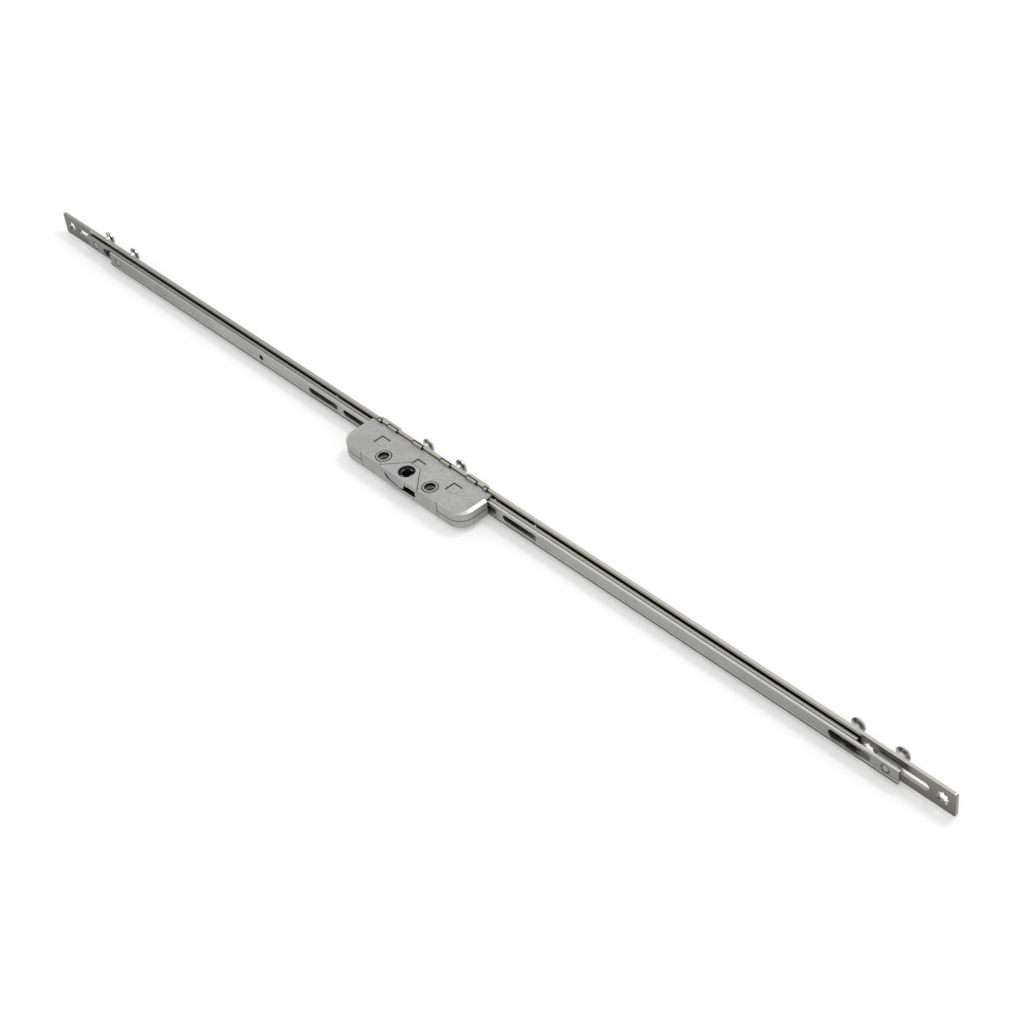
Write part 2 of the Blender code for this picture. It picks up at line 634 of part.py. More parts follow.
def build_case_base():
    rings = [(case_ring(BASE_EDGE, BASE_EDGE), CASE_BOTTOM),
             (case_ring(), CASE_BOTTOM + BASE_EDGE),
             (case_ring(), CASE_SPLIT - FIT)]
    base = loft("case_base", rings)
    hollow = prism("hollow", case_ring(CASE_WALL, CASE_WALL, CASE_WALL), BASE_FLOOR, CASE_TOP)
    combine(base, [hollow, bar_passage()])
    additions = lugs(-1, BASE_FLOOR - FIT)
    panel = rectangle(-FRONT_PANEL / 2, FRONT_PANEL / 2, CASE_FRONT_FACE,
                      CASE_FRONT_FACE + CASE_WALL)
    additions.append(prism("panel", panel, CASE_SPLIT - 2 * FIT, COVER_UNDERSIDE - FIT))
    for x in handle_screws():
        boss = SLEEVE_DIAMETER / 2 + FIT + CASE_WALL
        additions.append(round_cut("boss", x, -BACKSET, boss, BASE_FLOOR - FIT, CASE_SPLIT - FIT))
    for x, y in POSTS:
        additions.append(round_cut("seat", x, y, POST_SEAT, BASE_FLOOR - FIT, POST_SEAT_TOP,
                                   POST_STEPS))
    rib_front = SPRING_LINE + SPRING_THICKNESS / 2 + FIT
    additions.append(block("rib", (-SPRING_FOOT, -SPRING_FOOT + CASE_CORNER / 3),
                           (rib_front, rib_front + BASE_PLATE), (BASE_FLOOR - FIT, SECTOR_TOP)))
    combine(base, additions, "UNION")
    below = CASE_BOTTOM - FIT
    cutters = [prism("window", window_outline(), CASE_FRONT_FACE - FIT,
                     CASE_FRONT_FACE + CASE_WALL + FIT / 2, "Y")]
    cutters.append(round_cut("hub", 0, -BACKSET, HUB_DIAMETER / 2 + FIT, below, 0))
    for x in handle_screws():
        cutters.append(round_cut("bore", x, -BACKSET, SLEEVE_DIAMETER / 2 + FIT, below, CASE_TOP))
    for x, y in POSTS:
        cutters.append(round_cut("post", x, y, POST_DIAMETER / 2 + FIT, below, CASE_TOP, POST_STEPS))
        cutters.append(round_cut("sink", x, y, POST_HEAD / 2 + FIT, below,
                                 CASE_BOTTOM + POST_HEAD_HEIGHT + FIT, POST_STEPS))
    combine(base, cutters)
    finish(base, CAST_ZINC)
    return base


def panel_grooves():
    """Shallow grooves round the panel at the spindle, with a dimple at each front corner."""
    top = -PANEL_TOP_INSET
    foot = CASE_FRONT_FACE + PANEL_DIMPLE / 2
    corners = [(-PANEL_BASE_HALF, foot), (-PANEL_TOP_HALF, top),
               (PANEL_TOP_HALF, top), (PANEL_BASE_HALF, foot)]
    low = CASE_TOP - MARK_DEPTH
    high = CASE_TOP + FIT
    pieces = []
    for start, end in zip(corners, corners[1:]):
        way = (Vector(end) - Vector(start)).normalized() * PANEL_GROOVE / 2
        side = Vector((-way.y, way.x))
        points = [Vector(start) - side, Vector(end) + way - side,
                  Vector(end) + way + side, Vector(start) + side]
        pieces.append(prism("groove", [tuple(p) for p in points], low, high))
    for x, y in (corners[0], corners[-1]):
        pieces.append(round_cut("dimple", x, y + PANEL_DIMPLE / 4, PANEL_DIMPLE / 2, low - FIT, high, 12))
    return pieces


def cover_marks():
    """Pressed squares on the cover, deeper round the rim. The spindle's panel cuts the middle one off."""
    half = SQUARE_SIDE / 2
    high = CASE_TOP + FIT
    pieces = []
    for x in (-SQUARE_STATION, 0, SQUARE_STATION):
        left = x - half
        right = x + half
        near = -SQUARE_INSET - half
        far = -SQUARE_INSET + half
        if x == 0:
            near = -PANEL_TOP_INSET + PANEL_GROOVE
        pieces.append(block("square", (left, right), (near, far), (CASE_TOP - MARK_DEPTH, high)))
        rim = [((left, left + MARK_RIM), (near, far)), ((right - MARK_RIM, right), (near, far)),
               ((left, right), (far - MARK_RIM, far))]
        if x != 0:
            rim.append(((left, right), (near, near + MARK_RIM)))
        for across, along in rim:
            pieces.append(block("rim", across, along, (CASE_TOP - MARK_RIM_DEPTH, high)))
    return pieces


def build_case_cover():
    rings = [(case_ring(), CASE_SPLIT),
             (case_ring(), CASE_TOP - CASE_BEVEL_DROP),
             (case_ring(CASE_BEVEL_END, CASE_BEVEL_FRONT), CASE_TOP)]
    cover = loft("case_cover", rings)
    hollow = prism("hollow", case_ring(CASE_WALL, CASE_WALL, CASE_WALL), 0, COVER_UNDERSIDE)
    gap = block("panel_gap", (-FRONT_PANEL / 2 - FIT, FRONT_PANEL / 2 + FIT),
                (CASE_FRONT_FACE - FIT, CASE_FRONT_FACE + CASE_WALL + FIT), (0, COVER_UNDERSIDE))
    combine(cover, [hollow, gap, bar_passage()])
    additions = lugs(1, COVER_UNDERSIDE + FIT)
    for x, y in POSTS:
        additions.append(round_cut("post", x, y, POST_DIAMETER / 2, CASE_BOTTOM + FIT / 2,
                                   COVER_UNDERSIDE + FIT, POST_STEPS))
        additions.append(round_cut("head", x, y, POST_HEAD / 2, CASE_BOTTOM + FIT / 2,
                                   CASE_BOTTOM + POST_HEAD_HEIGHT, POST_STEPS))
    combine(cover, additions, "UNION")
    above = CASE_TOP + FIT
    cutters = [round_cut("hub", 0, -BACKSET, HUB_DIAMETER / 2 + FIT, 0, above)]
    for x in handle_screws():
        cutters.append(round_cut("bore", x, -BACKSET, SLEEVE_DIAMETER / 2 + FIT, 0, above))
        cutters.append(round_cut("rim", x, -BACKSET, SLEEVE_FLANGE_DIAMETER / 2 + FIT,
                                 CASE_TOP - SLEEVE_FLANGE - FIT, above))
    combine(cover, cutters + cover_marks() + panel_grooves())
    finish(cover, CAST_ZINC)
    return cover


def build_sleeve(name, x):
    """Flanged sleeve that a handle screw passes through, counterbored at the top."""
    bore = SLEEVE_BORE / 2
    counterbore = SLEEVE_COUNTERBORE / 2
    body = SLEEVE_DIAMETER / 2
    rim = SLEEVE_FLANGE_DIAMETER / 2
    top = CASE_TOP + SLEEVE_PROUD
    seat = top - SLEEVE_FLANGE
    ledge = top - SLEEVE_COUNTERBORE_DEPTH
    profile = [(bore, CASE_BOTTOM), (body, CASE_BOTTOM), (body, seat), (rim, seat),
               (rim, top - BAR_EDGE), (rim - BAR_EDGE, top), (counterbore, top),
               (counterbore, ledge), (bore, ledge)]
    sleeve = lathe(name, profile, "Z", 28, (x, -BACKSET, 0))
    finish(sleeve, BRIGHT_STEEL)
    return sleeve


def build_follower():
    """Hub with the square hole for the handle's spindle, and the toothed sector round it."""
    hub = HUB_DIAMETER / 2
    flange = hub + HUB_FLANGE
    low = CASE_BOTTOM + HUB_BOTTOM_RECESS
    high = CASE_TOP - HUB_TOP_RECESS
    bottom = BASE_FLOOR + FIT
    top = COVER_UNDERSIDE - FIT
    profile = [(0, low), (hub, low), (hub, bottom), (flange, bottom), (flange, bottom + HUB_FLANGE_HEIGHT),
               (hub, bottom + HUB_FLANGE_HEIGHT), (hub, top - HUB_FLANGE_HEIGHT),
               (flange, top - HUB_FLANGE_HEIGHT), (flange, top), (hub, top), (hub, high), (0, high)]
    follower = lathe("follower", profile, "Z", 36, (0, -BACKSET, 0))
    outline = [(0, 0)]
    for index in range(SECTOR_FIRST, SECTOR_LAST + 1):
        angle = math.pi / 2 + index * 2 * math.pi / SECTOR_TEETH
        outline += tooth(angle, SECTOR_RADIUS, SECTOR_MODULE, SECTOR_MODULE * TOOTH_HEIGHT,
                         SECTOR_MODULE * TOOTH_HEIGHT + ROOT_CLEARANCE)
    sector = prism("sector", outline, -SECTOR_BOTTOM, SECTOR_TOP, "Z", (0, -BACKSET, 0))
    combine(follower, [sector], "UNION")
    inset = SPINDLE_SQUARE / 2 - SPINDLE_CORNER
    outline = []
    for x, y, start in ((inset, inset, 0), (-inset, inset, 90), (-inset, -inset, 180), (inset, -inset, 270)):
        outline += arc((x, y), SPINDLE_CORNER, start, start + 90, 3)
    bore = prism("bore", outline, low - FIT, high + FIT, "Z", (0, -BACKSET, 0))
    combine(follower, [bore])
    finish(follower, GEAR_STEEL)
    return follower


def build_rack(bar):
    """Rack that the sector drives, riveted to the front bar."""
    pitch = math.pi * SECTOR_MODULE
    first = -STROKE - 1.5 * pitch
    edge = rack_edge(first, 1.5 * pitch, pitch, RACK_LINE, SECTOR_MODULE * TOOTH_HEIGHT,
                     SECTOR_MODULE * TOOTH_HEIGHT + ROOT_CLEARANCE, -1)
    root = edge[0][1]
    rear = FRONT_BAR_FRONT - FIT
    outline = [(-RACK_LEFT, root)] + edge + [(RACK_RIGHT, root), (RACK_RIGHT, rear), (-RACK_LEFT, rear)]
    rack = prism("drive_rack", outline, -SECTOR_BOTTOM, SECTOR_TOP)
    cutters = []
    for x in RACK_RIVETS:
        hole = circle((x, 0), RACK_RIVET_DIAMETER / 2 + FIT / 2)
        cutters.append(prism("hole", hole, root - FIT, rear + FIT, "Y"))
    combine(rack, cutters)
    finish(rack, GEAR_STEEL)
    rack.parent = bar
    return rack, root


def build_rack_rivet(name, x, root, bar):
    shank = RACK_RIVET_DIAMETER / 2 - FIT / 2
    seat = root - FIT
    head = seat - RACK_RIVET_HEAD_HEIGHT
    profile = [(0, head), (RACK_RIVET_HEAD / 2, head), (RACK_RIVET_HEAD / 2, seat), (shank, seat),
               (shank, FRONT_BAR_BACK), (0, FRONT_BAR_BACK)]
    rivet = lathe(name, profile, "Y", 24, (x, 0, 0))
    finish(rivet, DARK_STEEL)
    rivet.parent = bar
    return rivet


def build_reverser():
    """Small pinion between the bars: the front bar rolls over it and the rear bar under it."""
    outline = []
    for index in range(REVERSER_TEETH):
        angle = math.pi / 2 + index * 2 * math.pi / REVERSER_TEETH
        outline += tooth(angle, REVERSER_RADIUS, REVERSER_MODULE, REVERSER_ADDENDUM,
                         REVERSER_RACK_ADDENDUM + ROOT_CLEARANCE)
    rear = FACE_BACK - FIT
    front = FRONT_BAR_FRONT
    place = (0, 0, -REVERSER_DROP)
    pinion = prism("reversing_pinion", outline, front, rear, "Y", place)
    bore = prism("bore", circle((0, 0), STUD_DIAMETER / 2 + FIT), front - FIT, rear + FIT, "Y", place)
    combine(pinion, [bore])
    finish(pinion, GEAR_STEEL)
    return pinion


def build_stud():
    radius = STUD_DIAMETER / 2
    front = FRONT_BAR_FRONT + FIT / 2
    profile = [(0, front), (radius - FIT, front), (radius, front + FIT),
               (radius, FACE_BACK + STUD_DEPTH), (0, FACE_BACK + STUD_DEPTH)]
    stud = lathe("pinion_stud", profile, "Y", 24, (0, 0, -REVERSER_DROP))
    finish(stud, BRIGHT_STEEL)
    return stud


def build_spring():
    """Leaf spring behind the front wall. Its foot is held by a rib, its tip bends in beside the hub."""
    path = [Vector((-SPRING_FOOT, SPRING_LINE)), Vector((SPRING_BEND, SPRING_LINE)), Vector(SPRING_TIP)]
    left = []
    right = []
    for i, point in enumerate(path):
        before = (point - path[i - 1]).normalized() if i > 0 else (path[1] - point).normalized()
        after = (path[i + 1] - point).normalized() if i < len(path) - 1 else before
        middle = (before + after).normalized()
        across = Vector((-middle.y, middle.x)) * SPRING_THICKNESS / 2 / middle.dot(after)
        left.append(tuple(point + across))
        right.append(tuple(point - across))
    spring = prism("index_spring", left + right[::-1], SPRING_LOW, SPRING_HIGH)
    finish(spring, STEEL)
    return spring


def main():
    clear_scene()
    build_faceplate()
    rear_bar = build_bar("drive_bar_rear", -1, rear_bar_section(), REAR_BAR_BACK)
    front_bar = build_bar("drive_bar_front", 1, front_bar_section(), FRONT_BAR_BACK)
    for end, pin in zip(("left", "middle", "right"), FRONT_PINS):
        build_cam("cam_front_" + end, pin, FRONT_BAR_FRONT, front_bar)
    for end, pin in zip(("left", "middle", "right"), REAR_PINS):
        build_cam("cam_rear_" + end, pin, REAR_BAR_FRONT, rear_bar)
    build_spacer(front_bar)
    build_case_base()
    build_case_cover()
    for end, x in zip(("left", "right"), handle_screws()):
        build_sleeve("sleeve_" + end, x)
    build_follower()
    root = build_rack(front_bar)[1]
    for end, x in zip(("left", "right"), RACK_RIVETS):
        build_rack_rivet("rack_rivet_" + end, x, root, front_bar)
    build_reverser()
    build_stud()
    build_spring()


main()
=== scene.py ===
"""Looks for the window espagnolette: plated steel strips, die-cast case, turned cams, and a pale studio."""
import math

import bpy
from mathutils import Matrix, Vector


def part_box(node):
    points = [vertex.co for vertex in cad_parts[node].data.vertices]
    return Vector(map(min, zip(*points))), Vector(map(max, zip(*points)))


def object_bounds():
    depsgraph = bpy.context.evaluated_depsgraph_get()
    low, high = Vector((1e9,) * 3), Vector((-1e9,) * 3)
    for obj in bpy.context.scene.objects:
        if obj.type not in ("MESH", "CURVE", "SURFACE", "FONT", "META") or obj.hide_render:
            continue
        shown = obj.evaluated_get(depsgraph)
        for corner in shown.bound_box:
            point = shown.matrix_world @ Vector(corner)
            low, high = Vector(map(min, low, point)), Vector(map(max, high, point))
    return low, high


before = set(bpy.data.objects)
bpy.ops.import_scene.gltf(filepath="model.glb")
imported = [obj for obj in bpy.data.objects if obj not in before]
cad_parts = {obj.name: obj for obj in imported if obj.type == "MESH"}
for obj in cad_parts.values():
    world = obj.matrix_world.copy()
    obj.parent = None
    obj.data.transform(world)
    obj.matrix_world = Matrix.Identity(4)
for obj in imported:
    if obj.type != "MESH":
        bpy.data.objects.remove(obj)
cad_low, cad_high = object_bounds()

MM = 0.001


def span(node, axis):
    """The lowest and the highest X, Y or Z of a CAD node at rest."""
    low_corner, high_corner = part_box(node)
    number = "XYZ".index(axis)
    return low_corner[number], high_corner[number]


def middle(node, axis):
    """The X, Y or Z half way along a CAD node at rest."""
    return sum(span(node, axis)) / 2


# Camera: the photograph's viewing angle, in degrees, round a point on the faceplate beside the gearbox
CAMERA_AZIMUTH = 52.0
CAMERA_ELEVATION = 41.384
CAMERA_ROLL = -7.0
CAMERA_DISTANCE = 1311.1 * MM
CAMERA_AIM = (69.0 * MM, -0.1 * MM, 0.0)
CAMERA_LENS = 78.41                 # the lens and the sensor are in millimetres, as Blender takes them
CAMERA_SENSOR = 36
CAMERA_NEAR = 0.05
CAMERA_FAR = 50

# Edges, painted shade in gaps and wear, for every piece
ROUND_EDGE = 0.14 * MM
ROUND_SEGMENTS = 2
EDGE_ANGLE = math.radians(30)
OCCLUSION_RAYS = 6
SHADE_REACH = 1.1 * MM              # how near other faces lie where painted shade gathers
TURNED_SHADE_REACH = 2.2 * MM
SHADE_OPENNESS = (0.50, 0.14)       # how open a gap is where its painted shade starts, and where it is full
WEAR_REACH = 0.45 * MM              # how far a rubbed edge reaches over a face
WEAR_OPENNESS = (0.80, 0.45)        # the same, looking into the metal, for rubbed edges

# Painted shade: near-black colours laid into gaps, slots, rings, recesses and openings where shade falls
BLACK_SHADE = (0.012, 0.012, 0.011)
CASTING_SHADE = (0.02, 0.02, 0.018)
TURNED_SHADE = (0.01, 0.01, 0.01)
SEAM_GRIME_AND_SHADE = (0.03, 0.03, 0.028)    # grime in the case's joints, and painted shade round its pressed squares
# painted shade along the pressed panel's sides
PANEL_SIDE_SHADE = (0.05, 0.05, 0.047)
LUG_PLATING = (0.45, 0.44, 0.375)
# Painted highlights: the ledge on the front bar's lip, the cover's end bevel, and a ring down each sleeve's
# bore
LEDGE_HIGHLIGHT = (0.95, 0.95, 0.92)
BEVEL_HIGHLIGHT = (0.66, 0.66, 0.64)
BORE_HIGHLIGHT = (0.95, 0.95, 0.93)
BORE_METAL = (0.42, 0.42, 0.41)

# Places on the pieces, in the frame's own axes, which a node's texture keeps when its body moves.
# A pair that feeds a mask says where the mask is 0 and where it is 1.

# Faceplate
INNER_SIDE = span("faceplate", "Y")[0]
OFF_INNER_FACE = (INNER_SIDE + 0.02 * MM, INNER_SIDE + 0.14 * MM)   # Y just past the inner face
FACEPLATE_CUT = span("faceplate", "Z")[1] - 0.15 * MM       # where the painted highlight on the sheared edge starts
DARKER_ENDS = (190 * MM, 360 * MM)            # X over which all strips grow darker, at both ends
DARK_LEFT = (-210 * MM, -360 * MM)          # X over which their left ends grow darker
EDGE_HIGHLIGHT_SPAN = (-180 * MM, 100 * MM)          # X over which the painted highlight on their sheared edges grows brighter
BROWN_RIGHT = (50 * MM, 340 * MM)           # X over which the faceplate's inner face turns brown
DARK_FOOT = (7 * MM, -8 * MM)               # Z over which it grows darker
TRACK_HALF = (6.2 * MM, 5.6 * MM)           # half height of the painted black shade behind the bars
LIT_BAND = (5.9 * MM, 6.3 * MM)           # Z where the painted light band above the bars starts
HIGHLIGHT_BLEND = 0.1 * MM                        # height over which a face turns into its painted edge highlight

# Drive bars
REAR_LEFT, REAR_RIGHT = span("drive_bar_rear", "X")
TRACK_LEFT = (REAR_LEFT, REAR_LEFT + 2 * MM)                # X where the painted shade behind the bars starts and ends
TRACK_RIGHT = (REAR_RIGHT + 2 * MM, REAR_RIGHT)
REAR_FACE = span("drive_bar_rear", "Y")[0]
REAR_CUT = span("drive_bar_rear", "Z")[1] - 0.1 * MM
COVERED_FACE = (REAR_FACE + 0.4 * MM, REAR_FACE + 0.2 * MM)     # Y just inside its covered face
COVERED_HALF = (REAR_CUT, REAR_CUT - 0.2 * MM)                  # half of that face's height
FRONT_LEFT = span("drive_bar_front", "X")[0]
COVERED_FROM = (FRONT_LEFT - 7 * MM, FRONT_LEFT - 3 * MM)   # X where the rear bar's covered part starts
FRONT_CUT = span("drive_bar_front", "Z")[1] - 0.1 * MM
LIP_SIDE = span("drive_bar_front", "Y")[0]
LIP_ROOT = (LIP_SIDE + 0.7 * MM, LIP_SIDE + 0.6 * MM)       # Y where the lip leaves the face above it
LIP_FACE = (LIP_SIDE + 0.1 * MM, LIP_SIDE + 0.05 * MM)      # Y just inside the lip's own face
LEDGE_LEVEL = (-2.95 * MM, -2.85 * MM)      # Z just under the lip's top, the ledge
PIN_RING = (2.6 * MM, 0.65 * MM)            # radius and width of the painted shade round a pin
SPRING_CUT = 8 * MM                         # above the spring, which gets no painted edge highlight

# Cams: the shown pins of each bar, and Y where a dull pin turns into its bright stem
FRONT_PINS = (middle("cam_front_left", "X"), middle("cam_front_right", "X"))
REAR_PINS = (middle("cam_rear_left", "X"), middle("cam_rear_right", "X"))
PIN_END = (INNER_SIDE - 0.6 * MM, INNER_SIDE - 0.2 * MM)

# Sleeves and hub: each ring of painted shade is a radius and a width
SCREW_STATION = middle("sleeve_right", "X")
SPINDLE_LINE = middle("sleeve_right", "Y")
SLEEVE_CENTRES = ((-SCREW_STATION, SPINDLE_LINE), (SCREW_STATION, SPINDLE_LINE))
HUB_CENTRES = ((0.0, SPINDLE_LINE),)
SLEEVE_RING = (4.95 * MM, 0.5 * MM)         # in the cover, round a sleeve's flange
FLANGE_RING = (4.75 * MM, 0.35 * MM)        # on the flange's own edge
COUNTERBORE_RING = (3.5 * MM, 0.3 * MM)     # in the corner of the counterbore
SLEEVE_BORE = (5.45 * MM, 5.3 * MM)         # Z where the counterbore ends
BORE_LIP = (4.5 * MM, 4.3 * MM)             # Z where the bore's painted black shade turns into its painted highlight
BORE_WALL = (3.6 * MM, 3.2 * MM)            # Z where the painted highlight ring turns into plain wall
HUB_RING = (5.15 * MM, 0.5 * MM)            # in the cover, round the hub
HUB_TOP_RING = (4.45 * MM, 0.85 * MM)       # on the hub's top
HUB_LEVEL = span("follower", "Z")[1]
HUB_TOP = (HUB_LEVEL - 0.15 * MM, HUB_LEVEL - 0.05 * MM)    # Z just under the hub's top
HUB_SHADE = (4.3 * MM, 3.2 * MM)            # Z over which the walls of the hub's square turn black
RING_CORE = 0.45                            # share of a ring's width that is full painted shade

# Case
CASE_FRONT = span("case_cover", "Y")[0]
CASE_END = span("case_cover", "X")[1]
LUG_TIP = span("case_cover", "Y")[1]
LUGS = ((12.75 * MM, 4.5 * MM), (36.4 * MM, 4.5 * MM), (48.7 * MM, 1.7 * MM))   # station and half length
LUG_FACES = (INNER_SIDE - 1.2 * MM, INNER_SIDE - 1.0 * MM)  # Y where the lugs' plated faces start
LUG_OUTER = (LUG_TIP - 0.65 * MM, LUG_TIP - 0.45 * MM)      # Y where the painted shade on their outer edges starts
LUG_SHADE = (-0.7 * MM, -0.45 * MM)         # painted shade at a lug's ends, counted from its half length
LUG_SHADE_END = 0.3 * MM
END_BEVEL = (CASE_END - 7 * MM, CASE_END - 2 * MM)      # X over which the cover's end bevel is smoother and has a painted highlight
BEVEL_TOP = (6.42 * MM, 6.3 * MM)           # Z of its upper and lower edges
BEVEL_FOOT = (5.1 * MM, 5.25 * MM)
WINDOW_SKIN = (CASE_FRONT + 0.1 * MM, CASE_FRONT + 0.2 * MM)    # Y just behind the front wall's face
WINDOW_DEPTH = (CASE_FRONT + 3.2 * MM, CASE_FRONT + 2.7 * MM)   # Y where the painted shade in the window ends
WINDOW_HALF = (15.6 * MM, 15.4 * MM)        # half of the window's length
PANEL_TOP = -15 * MM                        # Y of the pressed panel's short side
PANEL_TOP_HALF = 4.6 * MM
PANEL_BASE_HALF = 17.4 * MM
SQUARE_STATIONS = (-33.2 * MM, 0.0, 33.2 * MM)
SQUARE_LINE = -13.5 * MM                    # Y of the pressed squares' centres
SQUARE_HALF = 3.65 * MM                     # half of a square's side
OUTLINE_WIDTH = (0.48 * MM, 0.16 * MM)      # distance from a pressed line to the painted shade's outside and core
FAR_EDGE = 0.9                              # share of a square's half side past which an edge is a far one
PARTING_LEVEL = 0.4 * MM                    # Z of the joint between cover and base
PARTING_WIDTH = (0.55 * MM, 0.15 * MM)
WALL_SEAM = 35 * MM                         # X where the base's tall front wall ends
WALL_SEAM_WIDTH = (0.5 * MM, 0.15 * MM)
FRONT_WALL = CASE_FRONT + 0.6 * MM          # Y in front of which that seam shows

CAM_NODES = tuple(f"cam_{bar}_{end}" for bar in ("front", "rear") for end in ("left", "middle", "right"))
SLEEVE_NODES = ("sleeve_left", "sleeve_right", "pinion_stud")
GEAR_NODES = ("drive_rack", "reversing_pinion", "rack_rivet_left", "rack_rivet_right")

# Studio
FLOOR_SIZE = 12.0
FLOOR_GAP = 0.2 * MM
FLOOR_COLOUR = (0.95, 0.95, 0.95, 1.0)
FLOOR_ROUGHNESS = 0.9
FLOOR_SPECULAR = 0.1
FLOOR_GLOW = 0.3                    # added to the floor where it is seen, so that it comes out white
WHITE = (1.0, 1.0, 1.0, 1.0)
AMBIENT = 0.65                      # strength of the room's soft light


def feed(tree, slot, value):
    """Links a socket to another node's output, or sets it to a plain value."""
    if isinstance(value, bpy.types.NodeSocket):
        tree.links.new(value, slot)
    else:
        slot.default_value = value


def new_group(name, inputs, outputs):
    """A shader node group of number sockets, returned with the sockets that its own nodes link to."""
    group = bpy.data.node_groups.new(name, "ShaderNodeTree")
    for label, value in inputs.items():
        made = group.interface.new_socket(label, in_out="INPUT", socket_type="NodeSocketFloat")
        made.default_value = value
    for label in outputs:
        group.interface.new_socket(label, in_out="OUTPUT", socket_type="NodeSocketFloat")
    start = group.nodes.new("NodeGroupInput")
    end = group.nodes.new("NodeGroupOutput")
    return group, start.outputs, end.inputs


def place_group(tree, group, **values):
    node = tree.nodes.new("ShaderNodeGroup")
    node.node_tree = group
    for name, value in values.items():
        feed(tree, node.inputs[name], value)
    return node.outputs


def math_node(tree, operation, *values, clamp=False):
    node = tree.nodes.new("ShaderNodeMath")
    node.operation = operation
    node.use_clamp = clamp
    for slot, value in zip(node.inputs, values):
        feed(tree, slot, value)
    return node.outputs[0]


def product(tree, first, *others):
    """Masks multiplied together."""
    for other in others:
        first = math_node(tree, "MULTIPLY", first, other)
    return first


def highest(tree, first, *others):
    """The highest of several masks at each point."""
    for other in others:
        first = math_node(tree, "MAXIMUM", first, other)
    return first


def size_of(tree, value):
    """A value without its sign."""
    return math_node(tree, "ABSOLUTE", value)


def distance(tree, value, place):
    """How far a value lies from a place, on either side."""
    return size_of(tree, math_node(tree, "SUBTRACT", value, place))


def mapped(tree, value, source, target):
    """Turns the range source of a value into the range target, and holds it at the ends."""
    node = tree.nodes.new("ShaderNodeMapRange")
    for name, number in zip(("From Min", "From Max", "To Min", "To Max"), (*source, *target)):
        node.inputs[name].default_value = number
    tree.links.new(value, node.inputs["Value"])
    return node.outputs[0]


def spread(tree, value, start, end):
    """A mask that is 0 where the value is at start and 1 where it is at end."""
    return mapped(tree, value, (start, end), (0.0, 1.0))


def ranged(tree, mask, low, high):
    """Turns a mask into a number between low and high."""
    return mapped(tree, mask, (0.0, 1.0), (low, high))


def noise(tree, place, scale, detail, roughness):
    node = tree.nodes.new("ShaderNodeTexNoise")
    node.inputs["Detail"].default_value = detail
    node.inputs["Roughness"].default_value = roughness
    tree.links.new(place, node.inputs["Vector"])
    feed(tree, node.inputs["Scale"], scale)
    return node.outputs["Fac"]


def own_place(tree):
    """The surface's own place, in the frame's axes."""
    return tree.nodes.new("ShaderNodeTexCoord").outputs["Object"]


def own_axes(tree):
    """The X, Y and Z of the surface's own place."""
    split = tree.nodes.new("ShaderNodeSeparateXYZ")
    tree.links.new(own_place(tree), split.inputs[0])
    return split.outputs


def stretched_place(tree, stretch):
    scale = tree.nodes.new("ShaderNodeVectorMath")
    scale.operation = "MULTIPLY"
    tree.links.new(own_place(tree), scale.inputs[0])
    feed(tree, scale.inputs[1], stretch)
    return scale.outputs[0]


def axis_mask(tree, axis, start, end):
    """A mask that goes from 0 at start to 1 at end along the surface's own X, Y or Z."""
    return spread(tree, own_axes(tree)[axis], start, end)


def size_mask(tree, axis, start, end):
    """As axis_mask, by the distance from the frame's middle, on both sides."""
    return spread(tree, size_of(tree, own_axes(tree)[axis]), start, end)


def broken(tree, mask, scale, low, high):
    """A mask broken up by a fine noise, which scales it by a number from low to high."""
    patches = noise(tree, own_place(tree), scale, detail=3.0, roughness=0.6)
    return math_node(tree, "MULTIPLY", mask, ranged(tree, patches, low, high), clamp=True)


def pressed_outline_shade_group():
    """Painted shade in the edge of a pressed square, as a mask: darker along its far edges."""
    group, given, made = new_group(
        "pressed_outline_shade", {"Station": 0.0, "Line": 0.0, "Half": 3 * MM}, ("Mask",))
    axes = own_axes(group)
    x = math_node(group, "SUBTRACT", axes["X"], given["Station"])
    y = math_node(group, "SUBTRACT", axes["Y"], given["Line"])
    out = highest(group, size_of(group, x), size_of(group, y))
    line = spread(group, distance(group, out, given["Half"]), *OUTLINE_WIDTH)
    back = highest(group, y, math_node(group, "MULTIPLY", x, -1.0))
    far = math_node(group, "GREATER_THAN", back, math_node(group, "MULTIPLY", given["Half"], FAR_EDGE))
    edge = product(group, line, ranged(group, far, low=0.62, high=1.0))
    group.links.new(broken(group, edge, scale=500.0, low=0.6, high=1.3), made["Mask"])
    return group


def shade_ring_group():
    """Painted shade in a ring, as a mask; Across and Level say where a point lies from the ring's centre.
    """
    group, given, made = new_group(
        "shade_ring", {"Across": 0.0, "Level": 0.0, "Radius": 2 * MM, "Width": 0.4 * MM}, ("Mask",))
    squares = [math_node(group, "MULTIPLY", given[way], given[way]) for way in ("Across", "Level")]
    radius = math_node(group, "SQRT", math_node(group, "ADD", *squares))
    share = math_node(group, "DIVIDE", distance(group, radius, given["Radius"]), given["Width"])
    group.links.new(spread(group, share, 1.0, RING_CORE), made["Mask"])
    return group


def openness(tree, reach):
    """A node that says how much of its view is open, within reach, at each point."""
    node = tree.nodes.new("ShaderNodeAmbientOcclusion")
    node.samples = OCCLUSION_RAYS
    tree.links.new(reach, node.inputs["Distance"])
    return node


def crevice_shade_group():
    """Painted shade in gaps, slots and corners, as a mask."""
    group, given, made = new_group("crevice_shade", {"Reach": SHADE_REACH, "Amount": 1.0}, ("Mask",))
    closed = openness(group, given["Reach"])
    mask = spread(group, closed.outputs["AO"], *SHADE_OPENNESS)
    group.links.new(math_node(group, "MULTIPLY", mask, given["Amount"], clamp=True), made["Mask"])
    return group


